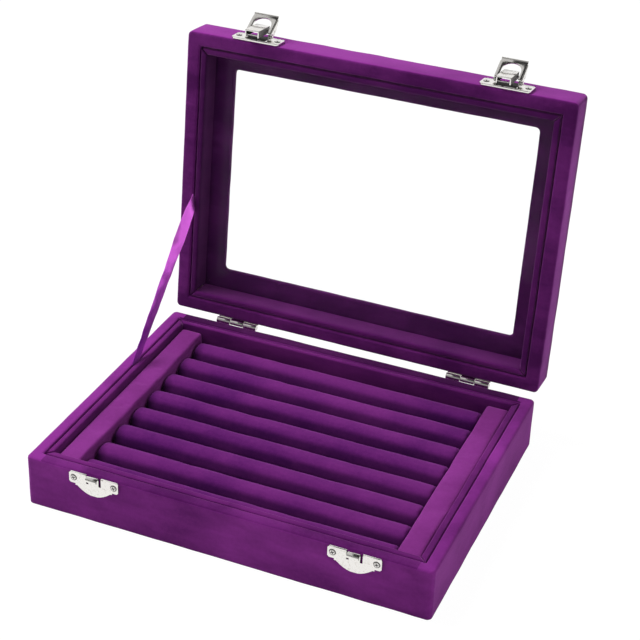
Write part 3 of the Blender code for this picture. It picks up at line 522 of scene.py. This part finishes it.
def pad(node, name, edge_radius, end_radius, voxel, material, seed, lift, painted_flank_shade, shade=0.0):
    """A foam strip in velvet: a rounded bar, remeshed, stuffed by simulation and smoothed."""
    low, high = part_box(node)
    along = 0 if high.x - low.x > high.y - low.y else 1
    margin = Vector((PAD_MARGIN, PAD_MARGIN, 0))
    item = block(name, low / MM + margin, high / MM - margin - Vector((0, 0, PAD_MARGIN)))
    across = 1 - along
    top, middle = high.z / MM - PAD_MARGIN, (low + high) / 2 / MM
    bpy.ops.object.mode_set(mode="EDIT")
    half = (high[along] - low[along]) / MM / 2 - PAD_MARGIN
    for side in (-1, 1):
        round_edges(item, past(side, across, middle, edge_radius - ROLL_FLANK, top - 0.01),
                    edge_radius, segments=10)
    for side in (-1, 1):
        round_edges(item, past(side, along, middle, half - 0.01, low.z / MM + 0.6),
                    end_radius, segments=5)
    bpy.ops.object.mode_set(mode="OBJECT")
    take(item)
    remesh = item.modifiers.new("cells", "REMESH")
    remesh.mode, remesh.voxel_size = "VOXEL", voxel * MM
    apply_all(item)
    for vert in item.data.vertices:
        place = vert.co / (LUMP_SIZE * MM) + Vector((seed * 5.1, seed * 2.3, 0))
        vert.co += vert.normal * (noise.noise(place) * LUMP_DEPTH * MM)
    stuff(item, pressure=1.5, cap=0.22, shrink=-0.002)
    soft = item.modifiers.new("soft", "SUBSURF")
    soft.levels = soft.render_levels = 1
    apply_all(item)
    clearance = Vector((PAD_CLEARANCE, PAD_CLEARANCE, 0)) * MM
    stay_in(item, low + clearance, high - clearance)
    paint_pad_light(item, low, high, lift, painted_flank_shade, shade)
    smooth(item, 80)
    finish_piece(item, material, "base", "velvet_padding", node)


# Metal and ribbon

def plain(place, normal):
    return 0.0


def shut(place):
    """A point of the open lid, in millimetres, back in the shut lid's frame."""
    return LID_OPEN.inverted() @ (place * MM) / MM


def centred(place):
    """Sideways distance from the middle of the fitting that a point belongs to."""
    return place.x - math.copysign(FITTING, place.x)


def in_link(place, normal):
    """Painted shade on the channel's inner faces and on its side wall away from the light."""
    across = centred(place)
    facing = LID_OPEN.to_3x3().inverted() @ normal
    if facing.y > 0.5 or across * normal.x < 0 and abs(normal.x) > 0.5:
        return 1.0
    return 0.75 if normal.x > 0.5 and across > 3 else 0.0


def in_lever(place, normal):
    """Painted shade on the inner faces of the lever's two side walls."""
    across = centred(place)
    if abs(normal.x) > 0.5 and across * normal.x < 0 and abs(across) > 5:
        return 0.85
    return 0.0


def under_lever(place, normal):
    """Painted shade on the stretch of the latch's plate between its two lugs, where no light falls.
    """
    return 0.93 if abs(centred(place)) < LUG_REACH and shut(place).z > LUG_FOOT else 0.0


def round_tongue(place, normal):
    """Painted shade in the slits beside the catch's tongue and in the hollow under its curl."""
    across = abs(centred(place))
    if across < 4.2 and abs(normal.x) > 0.5:
        return 0.85
    return 0.7 if across < 2.8 and normal.z < -0.4 and place.z > 22 else 0.0


def in_recess(place, normal):
    """Painted shade in the screw's cross recess, and a painted shadow round its head; the screw is
    still upright.
    """
    radius = place.xy.length
    if radius < 1.1 and (abs(normal.z) < 0.6 or place.z < 0.42):
        return 1.0
    return 0.75 if radius > 1.25 and place.z > 0.2 else 0.0


def divide_between_lugs(item):
    """Cuts a latch's plate along the edges of the stretch that its lever covers."""
    middle = math.copysign(FITTING, item.data.vertices[0].co.x)
    across, rise = Vector((1, 0, 0)), LID_OPEN.to_3x3() @ Vector((0, 0, 1))
    bpy.ops.object.mode_set(mode="EDIT")
    for place, normal in ((Vector((middle - LUG_REACH, 0, 0)) * MM, across),
                          (Vector((middle + LUG_REACH, 0, 0)) * MM, across),
                          (LID_OPEN @ (Vector((0, -HALF_DEPTH, LUG_FOOT)) * MM), rise)):
        bpy.ops.mesh.select_all(action="SELECT")
        bpy.ops.mesh.bisect(plane_co=place, plane_no=normal)
    bpy.ops.object.mode_set(mode="OBJECT")


def raise_tongue(item):
    """Lifts the curl of a catch's tongue a little and widens it, clear of the link's sides."""
    for vert in item.data.vertices:
        across = centred(vert.co / MM)
        if abs(across) < TONGUE_HALF and vert.co.z > TONGUE_FOOT * MM:
            vert.co.x += across * TONGUE_SPREAD_SHARE * MM
            vert.co.z += TONGUE_RISE * MM


def dressed(node, name, material, body, slot, edge=0.07, recess=plain, rework=None):
    """The node's own shape with its loose triangles merged, its pressed edges softened."""
    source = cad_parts[node]
    item = bpy.data.objects.new(name, source.data.copy())
    item.data.name = name
    bpy.context.scene.collection.objects.link(item)
    take(item)
    bpy.ops.object.mode_set(mode="EDIT")
    bpy.ops.mesh.select_all(action="SELECT")
    bpy.ops.mesh.customdata_custom_splitnormals_clear()
    bpy.ops.mesh.remove_doubles(threshold=0.002 * MM)
    bpy.ops.mesh.dissolve_limited(angle_limit=math.radians(1))
    bpy.ops.object.mode_set(mode="OBJECT")
    if rework:
        rework(item)
    soften = item.modifiers.new("pressed edge", "BEVEL")
    soften.width, soften.segments = edge * MM, 2
    soften.limit_method, soften.angle_limit = "ANGLE", math.radians(42)
    apply_all(item)
    # Painted shade in the fitting's hollows and under its parts, by the numbers that recess gives
    # each face
    paint(item, "recess", recess)
    smooth(item, 38)
    finish_piece(item, material, body, slot, node)


def screw(name, place, outwards, material, body, node):
    """A countersunk screw with a cross recess, made upright and turned into its hole."""
    bpy.ops.object.select_all(action="DESELECT")
    bpy.ops.mesh.primitive_cylinder_add(
        vertices=32, radius=SCREW_RADIUS * MM, depth=SCREW_HEAD * MM)
    item = bpy.context.object
    item.name = item.data.name = name
    bpy.ops.object.mode_set(mode="EDIT")
    pick(item, "FACE", lambda face: face.normal.z > 0.9)
    bpy.ops.mesh.inset(thickness=RIM_WIDTH * MM)
    bpy.ops.transform.translate(value=(0, 0, RIM_RISE * MM))
    bpy.ops.mesh.inset(thickness=CROWN_WIDTH * MM)
    bpy.ops.transform.translate(value=(0, 0, CROWN_RISE * MM))
    pick(item, "FACE", lambda face: face.normal.z < -0.9)
    bpy.ops.transform.resize(value=(SHANK_SHARE, SHANK_SHARE, 1))
    bpy.ops.mesh.extrude_region_move(TRANSFORM_OT_translate={"value": (0, 0, -SCREW_SHANK * MM)})
    bpy.ops.transform.resize(value=(TIP_SHARE, TIP_SHARE, 1))
    bpy.ops.object.mode_set(mode="OBJECT")
    for turn in (ARM_TURN, ARM_TURN + math.pi / 2):
        arm = block("recess", (-ARM_LENGTH, -ARM_WIDTH, ARM_FOOT), (ARM_LENGTH, ARM_WIDTH, ARM_TOP))
        arm.rotation_euler.z = turn
        bpy.ops.object.transform_apply(location=True, rotation=True, scale=True)
        cut = item.modifiers.new("recess", "BOOLEAN")
        cut.operation, cut.solver, cut.object = "DIFFERENCE", "EXACT", arm
        apply_all(item)
        bpy.data.objects.remove(arm)
    paint(item, "recess", in_recess)
    turned = outwards.to_track_quat("Z", "Y").to_matrix().to_4x4()
    sunk = Matrix.Translation((0, 0, -SCREW_HEAD / 2 * MM))
    item.data.transform(Matrix.Translation(place) @ turned @ sunk)
    smooth(item, 35)
    finish_piece(item, material, body, "nickel", node)


def stay_ribbon(material):
    """Satin ribbon from the base's left groove to the lid's, turned to the front on its way."""
    low, high = RIBBON_LOW, LID_OPEN @ RIBBON_HIGH
    along = (high - low).normalized()
    places = [share for share, _ in RIBBON_TURNS]
    angles = [turn for _, turn in RIBBON_TURNS]
    bpy.ops.object.select_all(action="DESELECT")
    bpy.ops.mesh.primitive_grid_add(x_subdivisions=8, y_subdivisions=110, size=1)
    item = bpy.context.object
    item.name = item.data.name = "ribbon"
    flat = Vector((1, 0, 0))
    axis = Vector((0, along.y, along.z)).normalized()
    reach = (high - low).length
    for vert in item.data.vertices:
        across, share = vert.co.x, (1 + 2 * RIBBON_TUCK) * (vert.co.y + 0.5) - RIBBON_TUCK
        turn = math.radians(float(np.interp(share, places, angles)))
        normal = Matrix.Rotation(turn, 3, axis) @ flat
        wide = normal.cross(axis).normalized()
        if 0 < share < 1:
            centre = low.lerp(high, share)
        else:
            centre = (low if share <= 0 else high) + axis * reach * (share - (share > 0))
        free = max(0.0, min(1.0, share * 8, (1 - share) * 8))
        ripple = noise.noise(Vector((share * 16, across * 1.4, 0.4))) * RIBBON_RIPPLE
        curl = RIBBON_LIFT - RIBBON_CURL * (across * 2) ** 2
        lift = (ripple + curl * 0.5) * free * MM
        vert.co = centre + wide * across * RIBBON_WIDTH * MM * (1 - 0.03 * free) + normal * lift
    wall = item.modifiers.new("cloth", "SOLIDIFY")
    wall.thickness, wall.offset = RIBBON_CLOTH * MM, 0
    apply_all(item)
    smooth(item, 60)
    item.data.materials.clear()
    item.data.materials.append(material)
    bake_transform(item)
    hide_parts("stay_ribbon")


# Shader groups and materials

def put(tree, kind, inputs=None, **settings):
    """Adds a node; an input is a number, a colour or another node's output socket."""
    node = tree.nodes.new(kind)
    for key, value in settings.items():
        setattr(node, key, value)
    for key, value in (inputs or {}).items():
        if isinstance(value, bpy.types.NodeSocket):
            tree.links.new(value, node.inputs[key])
        else:
            node.inputs[key].default_value = value
    return node


def new_group(name, inputs, outputs):
    tree = bpy.data.node_groups.new(name, "ShaderNodeTree")
    for label, kind, value in inputs:
        socket = tree.interface.new_socket(name=label, in_out="INPUT", socket_type=kind)
        if value is not None:
            socket.default_value = value
    for label, kind in outputs:
        tree.interface.new_socket(name=label, in_out="OUTPUT", socket_type=kind)
    return tree, tree.nodes.new("NodeGroupInput"), tree.nodes.new("NodeGroupOutput")


def number(tree, operation, one, other=0.0):
    return put(tree, "ShaderNodeMath", {0: one, 1: other}, operation=operation).outputs[0]


def between(tree, value, low, high, start=0.0, end=1.0):
    node = put(tree, "ShaderNodeMapRange", {
        "Value": value, "From Min": low, "From Max": high, "To Min": start, "To Max": end})
    return node.outputs["Result"]


def clouds(tree, vector, scale, detail=2.0, roughness=0.5, distortion=0.0):
    node = put(tree, "ShaderNodeTexNoise", {
        "Vector": vector, "Scale": scale, "Detail": detail, "Roughness": roughness,
        "Distortion": distortion})
    return node.outputs[0]


def stretched(tree, vector, scale):
    return put(tree, "ShaderNodeMapping", {"Vector": vector, "Scale": scale}).outputs[0]


def blend_colours(tree, factor, one, other):
    """Mixes two colours; each is a colour or another node's output."""
    return put(tree, "ShaderNodeMix", {0: factor, 6: one, 7: other}, data_type="RGBA").outputs[2]


def velvet_pile_group():
    """Pile of velvet: how far it is brushed over, its mottling, and the height of its hairs."""
    tree, given, result = new_group(
        "velvet pile",
        [("Vector", "NodeSocketVector", None), ("Brushing", "NodeSocketFloat", 1.0),
         ("Pile", "NodeSocketFloat", 1.0)],
        [("Shade", "NodeSocketFloat"), ("Height", "NodeSocketFloat")])
    place = given.outputs["Vector"]
    brushed = clouds(tree, stretched(tree, place, (20, 26, 32)), 1.0, 1.6, 0.4, 0.8)
    strokes = clouds(tree, stretched(tree, place, (70, 70, 210)), 1.0, 2.0, 0.5, 0.3)
    mottled = clouds(tree, place, 520.0, 2.0, 0.6)
    hairs = clouds(tree, place, 3600.0, 2.0, 0.7)
    drift = number(tree, "MULTIPLY", between(tree, brushed, 0.3, 0.7, -0.45, 0.45),
                   given.outputs["Brushing"])
    streak = number(tree, "MULTIPLY", between(tree, strokes, 0.3, 0.7, -0.2, 0.2),
                    given.outputs["Brushing"])
    fine = number(tree, "MULTIPLY", between(tree, mottled, 0.3, 0.7, -0.07, 0.07),
                  given.outputs["Pile"])
    grain = number(tree, "MULTIPLY", between(tree, hairs, 0.3, 0.7, -0.12, 0.12),
                   given.outputs["Pile"])
    shade = number(tree, "ADD", number(tree, "ADD", drift, streak),
                   number(tree, "ADD", fine, grain))
    shade = number(tree, "ADD", shade, 0.5)
    tree.links.new(between(tree, shade, 0.0, 1.0), result.inputs["Shade"])
    height = number(tree, "ADD", number(tree, "MULTIPLY", hairs, 0.6),
                    number(tree, "MULTIPLY", mottled, 0.4))
    tree.links.new(height, result.inputs["Height"])
    return tree


def nickel_wear_group():
    """Plating that is handled: fine scratches, dull smears and a few darker spots."""
    tree, given, result = new_group(
        "nickel wear",
        [("Vector", "NodeSocketVector", None), ("Wear", "NodeSocketFloat", 1.0)],
        [("Roughness", "NodeSocketFloat"), ("Tarnish", "NodeSocketFloat"),
         ("Height", "NodeSocketFloat")])
    place = given.outputs["Vector"]
    scratches = clouds(tree, stretched(tree, place, (900, 9000, 2600)), 1.0, 2.0, 0.6)
    smears = clouds(tree, place, 260.0, 3.0, 0.6, 0.5)
    spots = clouds(tree, place, 900.0, 2.0, 0.6)
    rough = number(tree, "ADD", between(tree, smears, 0.35, 0.7, 0.10, 0.26),
                   between(tree, scratches, 0.5, 0.75, 0.0, 0.14))
    tree.links.new(number(tree, "MULTIPLY", rough, given.outputs["Wear"]),
                   result.inputs["Roughness"])
    tree.links.new(between(tree, spots, 0.56, 0.78, 0.0, 0.7), result.inputs["Tarnish"])
    tree.links.new(scratches, result.inputs["Height"])
    return tree


def new_material(name):
    material = bpy.data.materials.new(name)
    material.use_nodes = True
    tree = material.node_tree
    shader = tree.nodes["Principled BSDF"]
    place = tree.nodes.new("ShaderNodeTexCoord").outputs["Object"]
    return material, tree, shader, place


def velvet(name, pile, dark, light, brushing, sheen, tint):
    material, tree, shader, place = new_material(name)
    group = put(tree, "ShaderNodeGroup", node_tree=pile)
    tree.links.new(place, group.inputs["Vector"])
    group.inputs["Brushing"].default_value = brushing
    # Painted light and shade from each face's attribute lighten or darken the brushed tone; where
    # it is darkest the colour turns to a near black painted shade
    nap_and_painted_light = put(tree, "ShaderNodeAttribute", attribute_name="nap_and_painted_light").outputs["Fac"]
    tone_and_painted_light = between(tree, number(tree, "ADD", group.outputs["Shade"], nap_and_painted_light), 0.0, 1.0)
    brushed = blend_colours(tree, tone_and_painted_light, (*dark, 1), (*light, 1))
    colour = blend_colours(tree, between(tree, nap_and_painted_light, -0.5, -0.1), PAINTED_VELVET_SHADE, brushed)
    tree.links.new(colour, shader.inputs["Base Color"])
    tree.links.new(between(tree, group.outputs["Shade"], 0.0, 1.0, 0.98, 0.82),
                   shader.inputs["Roughness"])
    bump = put(tree, "ShaderNodeBump", {
        "Height": group.outputs["Height"], "Strength": 0.35, "Distance": 0.15 * MM})
    tree.links.new(bump.outputs[0], shader.inputs["Normal"])
    shader.inputs["Specular IOR Level"].default_value = 0.12
    shader.inputs["Sheen Weight"].default_value = sheen
    shader.inputs["Sheen Roughness"].default_value = 0.38
    shader.inputs["Sheen Tint"].default_value = (*tint, 1)
    return material


def nickel(name, wear, amount, base, rough_shift=0.0):
    material, tree, shader, place = new_material(name)
    group = put(tree, "ShaderNodeGroup", node_tree=wear)
    tree.links.new(place, group.inputs["Vector"])
    group.inputs["Wear"].default_value = amount
    plated = blend_colours(tree, group.outputs["Tarnish"], (*base, 1),
                           (base[0] * 0.72, base[1] * 0.69, base[2] * 0.64, 1))
    # Painted shade: the recess attribute darkens the plating to a near black in hollows, under the
    # lever and on faces away from the light, and dulls it
    recess = put(tree, "ShaderNodeAttribute", attribute_name="recess").outputs["Fac"]
    colour = blend_colours(tree, recess, plated, PAINTED_METAL_SHADE)
    tree.links.new(colour, shader.inputs["Base Color"])
    dulled = number(tree, "ADD", group.outputs["Roughness"], number(tree, "MULTIPLY", recess, 0.6))
    tree.links.new(number(tree, "ADD", dulled, rough_shift), shader.inputs["Roughness"])
    bump = put(tree, "ShaderNodeBump", {
        "Height": group.outputs["Height"], "Strength": 0.12, "Distance": 0.03 * MM})
    tree.links.new(bump.outputs[0], shader.inputs["Normal"])
    shader.inputs["Metallic"].default_value = 1.0
    return material


def satin(name):
    """Floats of the satin run along the ribbon; a raised selvedge follows each long edge."""
    material, tree, shader, _ = new_material(name)
    surface = put(tree, "ShaderNodeUVMap").outputs[0]
    floats = clouds(tree, stretched(tree, surface, (60, 3, 1)), 1.0, 2.0, 0.6)
    folds = clouds(tree, stretched(tree, surface, (1.2, 9, 1)), 1.0, 3.0, 0.55, 0.4)
    split = put(tree, "ShaderNodeSeparateXYZ", {0: surface})
    edge = number(tree, "ABSOLUTE", number(tree, "SUBTRACT", split.outputs[0], 0.5))
    selvedge = between(tree, edge, 0.44, 0.47)
    shade = number(tree, "ADD", between(tree, floats, 0.3, 0.7, 0.0, 0.5),
                   between(tree, folds, 0.3, 0.7, 0.0, 0.5))
    # Painted light and shade: the ribbon is painted lighter towards its upper end and darker
    # towards its foot
    lit = between(tree, split.outputs[1], 0.15, 0.75, -0.30, 0.60)
    colour = blend_colours(tree, number(tree, "ADD", shade, lit), (0.36, 0.012, 0.55, 1),
                           (0.96, 0.18, 1.0, 1))
    tree.links.new(colour, shader.inputs["Base Color"])
    shader.inputs["Metallic"].default_value = 0.8
    tree.links.new(between(tree, floats, 0.3, 0.7, 0.30, 0.44), shader.inputs["Roughness"])
    height = number(tree, "ADD", floats, number(tree, "MULTIPLY", selvedge, 0.8))
    bump = put(tree, "ShaderNodeBump", {
        "Height": height, "Strength": 0.3, "Distance": 0.06 * MM})
    tree.links.new(bump.outputs[0], shader.inputs["Normal"])
    shader.inputs["Sheen Weight"].default_value = 0.45
    shader.inputs["Sheen Roughness"].default_value = 0.6
    shader.inputs["Sheen Tint"].default_value = (0.95, 0.35, 1.0, 1)
    shader.inputs["Specular IOR Level"].default_value = 0.25
    return material


def clear_pane(name):
    material, tree, shader, place = new_material(name)
    smears = clouds(tree, place, 22.0, 3.0, 0.6, 0.6)
    tree.links.new(between(tree, smears, 0.45, 0.8, 0.0, 0.03), shader.inputs["Roughness"])
    shader.inputs["Base Color"].default_value = (0.985, 0.99, 0.99, 1)
    shader.inputs["Transmission Weight"].default_value = 1.0
    shader.inputs["IOR"].default_value = 1.12
    return material


def board(name, dark, light, scale):
    """Pressed board or paper: matted fibres, no sheen."""
    material, tree, shader, place = new_material(name)
    fibres = clouds(tree, stretched(tree, place, (scale, scale * 0.4, scale)), 1.0, 4.0, 0.7)
    colour = blend_colours(tree, between(tree, fibres, 0.3, 0.7), (*dark, 1), (*light, 1))
    tree.links.new(colour, shader.inputs["Base Color"])
    tree.links.new(between(tree, fibres, 0.3, 0.7, 0.95, 0.8), shader.inputs["Roughness"])
    bump = put(tree, "ShaderNodeBump", {"Height": fibres, "Strength": 0.2, "Distance": 0.1 * MM})
    tree.links.new(bump.outputs[0], shader.inputs["Normal"])
    return material


# Camera, light and floor

def camera():
    data = bpy.data.cameras.new("camera")
    data.lens, data.sensor_width = CAMERA_LENS, 36
    item = bpy.data.objects.new("camera", data)
    bpy.context.scene.collection.objects.link(item)
    back = (CAMERA_PLACE - CAMERA_TARGET).normalized()
    right = Vector((0, 0, 1)).cross(back).normalized()
    up = back.cross(right)
    rolled_right = right * math.cos(CAMERA_ROLL) + up * math.sin(CAMERA_ROLL)
    rolled_up = up * math.cos(CAMERA_ROLL) - right * math.sin(CAMERA_ROLL)
    turn = Matrix((rolled_right, rolled_up, back)).transposed()
    item.matrix_world = Matrix.Translation(CAMERA_PLACE) @ turn.to_4x4()
    bpy.context.scene.camera = item


def lamp(name, place, size, power):
    data = bpy.data.lights.new(name, "AREA")
    data.shape, data.size, data.energy = "SQUARE", size, power
    item = bpy.data.objects.new(name, data)
    bpy.context.scene.collection.objects.link(item)
    item.visible_glossy = False
    item.location = place
    item.rotation_euler = (LAMP_AIM - Vector(place)).to_track_quat("-Z", "Y").to_euler()


def seen_straight(tree):
    """1 for what the camera, a reflection or a clear pane shows, 0 for light falling on things."""
    path = tree.nodes.new("ShaderNodeLightPath").outputs
    seen = number(tree, "MAXIMUM", path["Is Camera Ray"], path["Is Glossy Ray"])
    return number(tree, "MAXIMUM", seen, path["Is Transmission Ray"])


def studio():
    world = bpy.data.worlds.new("studio")
    bpy.context.scene.world = world
    world.use_nodes = True
    tree = world.node_tree
    background = tree.nodes["Background"]
    path = tree.nodes.new("ShaderNodeLightPath").outputs
    straight = number(tree, "MAXIMUM", path["Is Camera Ray"], path["Is Transmission Ray"])
    direction = tree.nodes.new("ShaderNodeTexCoord").outputs["Generated"]
    split = put(tree, "ShaderNodeSeparateXYZ", {0: direction}).outputs
    ceiling = between(tree, split[0], *LEFT_CEILING_ENDS, LEFT_CEILING, CEILING)
    walls = between(tree, split[1], *FRONT_WALL_ENDS, FRONT_WALL, 1.0)
    above = between(tree, split[2], *CEILING_BEGINS)
    reflected = number(tree, "ADD", number(tree, "MULTIPLY", above, ceiling), number(
        tree, "MULTIPLY", number(tree, "SUBTRACT", 1.0, above), walls))
    reflected = number(tree, "MULTIPLY", path["Is Glossy Ray"], reflected)
    seen = number(tree, "MAXIMUM", straight, reflected)
    ambient = number(tree, "MULTIPLY", AMBIENT, number(
        tree, "SUBTRACT", 1.0, number(tree, "MAXIMUM", straight, path["Is Glossy Ray"])))
    background.inputs["Color"].default_value = (1, 1, 1, 1)
    tree.links.new(number(tree, "ADD", seen, ambient), background.inputs["Strength"])
    lamp("window", (-0.62, 0.10, 1.00), size=0.62, power=13.5)
    lamp("left front", (-0.9, -0.8, 0.7), size=0.7, power=2.3)
    lamp("right", (1.0, -0.3, 0.6), size=0.7, power=2.6)
    bpy.ops.object.select_all(action="DESELECT")
    bpy.ops.mesh.primitive_plane_add(size=6)
    floor = bpy.context.object
    floor.name = "floor"
    material = bpy.data.materials.new("floor paper")
    material.use_nodes = True
    tree = material.node_tree
    tree.nodes.remove(tree.nodes["Principled BSDF"])
    paper = put(tree, "ShaderNodeBsdfDiffuse", {"Color": (0.86, 0.86, 0.86, 1)})
    glow = put(tree, "ShaderNodeEmission", {"Color": (1, 1, 1, 1), "Strength": FLOOR_GLOW})
    share = number(tree, "MULTIPLY", seen_straight(tree), FLOOR_GLOW_SHARE)
    mix = put(tree, "ShaderNodeMixShader", {0: share, 1: paper.outputs[0], 2: glow.outputs[0]})
    tree.links.new(mix.outputs[0], tree.nodes["Material Output"].inputs[0])
    floor.data.materials.append(material)


# Assembly

def main():
    bpy.context.scene.view_settings.view_transform = "Standard"
    camera()
    studio()
    pile = velvet_pile_group()
    wear = nickel_wear_group()
    # Lit and shaded copies of one velvet: the lining and roll velvets are painted darker, as
    # painted shade inside the box, and the bar velvet lighter, as painted light on the bars
    cover_cloth = velvet(
        "cover velvet", pile, dark=(0.085, 0.007, 0.10), light=(0.24, 0.028, 0.26),
        brushing=0.75, sheen=0.85, tint=(0.66, 0.21, 0.68))
    lining_cloth = velvet(
        "lining velvet", pile, dark=(0.07, 0.006, 0.085), light=(0.15, 0.016, 0.16),
        brushing=0.8, sheen=0.85, tint=(0.60, 0.20, 0.60))
    roll_cloth = velvet(
        "roll velvet", pile, dark=(0.06, 0.005, 0.09), light=(0.19, 0.024, 0.20),
        brushing=0.45, sheen=0.52, tint=(0.58, 0.17, 0.64))
    bar_cloth = velvet(
        "bar velvet", pile, dark=(0.12, 0.012, 0.12), light=(0.25, 0.035, 0.26),
        brushing=0.5, sheen=0.95, tint=(0.70, 0.24, 0.72))
    bright = nickel("bright nickel", wear, amount=1.0, base=(0.83, 0.81, 0.78))
    steel = nickel("screw steel", wear, amount=1.3, base=(0.70, 0.68, 0.66), rough_shift=0.05)
    cardboard = board("grey board", dark=(0.30, 0.24, 0.17), light=(0.46, 0.38, 0.28), scale=500)
    flock = board("flocked paper", dark=(0.020, 0.008, 0.024), light=(0.05, 0.022, 0.06), scale=900)
    base_cover(cover_cloth)
    lid_cover(cover_cloth)
    liners(lining_cloth)
    for count in range(1, 9):
        node = "ring_roll_" + str(count)
        low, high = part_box(node)
        crown = (high.y - low.y) / MM / 2 - ROLL_FLANK
        # Each roll gets painted light at its crest, painted shade down its flanks and a painted
        # shadow at its left end
        pad(node, "roll_" + str(count), crown, ROLL_END, ROLL_CELL, roll_cloth, seed=count,
            lift=0.02, painted_flank_shade=0.12, shade=0.25)
    # The bars get painted light on top and a little painted shade down their flanks
    for seed, side in ((11, "left"), (12, "right")):
        pad(side + "_end_bar", "bar_" + side, BAR_EDGE, BAR_EDGE, BAR_CELL, bar_cloth, seed=seed,
            lift=0.04, painted_flank_shade=0.04)
    stay_ribbon(satin("satin"))
    for side in ("left", "right"):
        dressed("catch_plate_" + side, "catch_" + side, bright, "base", "nickel",
                recess=round_tongue, rework=raise_tongue)
        dressed("latch_plate_" + side, "latch_base_" + side, bright, "lid", "nickel",
                recess=under_lever, rework=divide_between_lugs)
        dressed("latch_lever_" + side, "lever_" + side, bright, side + "_lever", "nickel",
                recess=in_lever)
        dressed("latch_link_" + side, "link_" + side, bright, side + "_link", "nickel",
                recess=in_link)
        dressed("link_pin_" + side, "link_rivet_" + side, steel, side + "_lever", "nickel",
                edge=0.1)
        dressed("hinge_" + side + "_base_leaf", "leaf_base_" + side, bright, "base", "nickel")
        dressed("hinge_" + side + "_lid_leaf", "leaf_lid_" + side, bright, "lid", "nickel")
        dressed("hinge_pin_" + side, "hinge_rod_" + side, steel, "base", "nickel", edge=0.12)
    front, rear = Vector((0, -1, 0)), Vector((0, 1, 0))
    swing = LID_OPEN.to_3x3()
    for count, (side, end) in enumerate(((-1, -1), (-1, 1), (1, -1), (1, 1)), start=1):
        mark = str(count)
        x = side * FITTING + end * PLATE_SPREAD
        screw("catch_fixing_" + mark, Vector((x, -SCREW_DEPTH, CATCH_SCREW)) * MM,
              front, steel, "base", "catch_screw_" + mark)
        screw("latch_fixing_" + mark,
              LID_OPEN @ (Vector((x, -SCREW_DEPTH, LATCH_SCREW)) * MM),
              swing @ front, steel, "lid", "latch_screw_" + mark)
        x = side * FITTING + end * LEAF_SPREAD
        screw("leaf_fixing_" + mark, Vector((x, SCREW_DEPTH, LEAF_SCREW)) * MM,
              rear, steel, "base", "hinge_base_screw_" + mark)
        screw("leaf_lid_fixing_" + mark,
              LID_OPEN @ (Vector((x, SCREW_DEPTH, LID_LEAF_SCREW)) * MM),
              swing @ rear, steel, "lid", "hinge_lid_screw_" + mark)
    finishes = {"glass_pane": clear_pane("clear pane"), "base_underside_sheet": flock}
    for name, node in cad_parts.items():
        if not node.hide_render:
            node.data.materials.clear()
            node.data.materials.append(finishes.get(name, cardboard))


main()
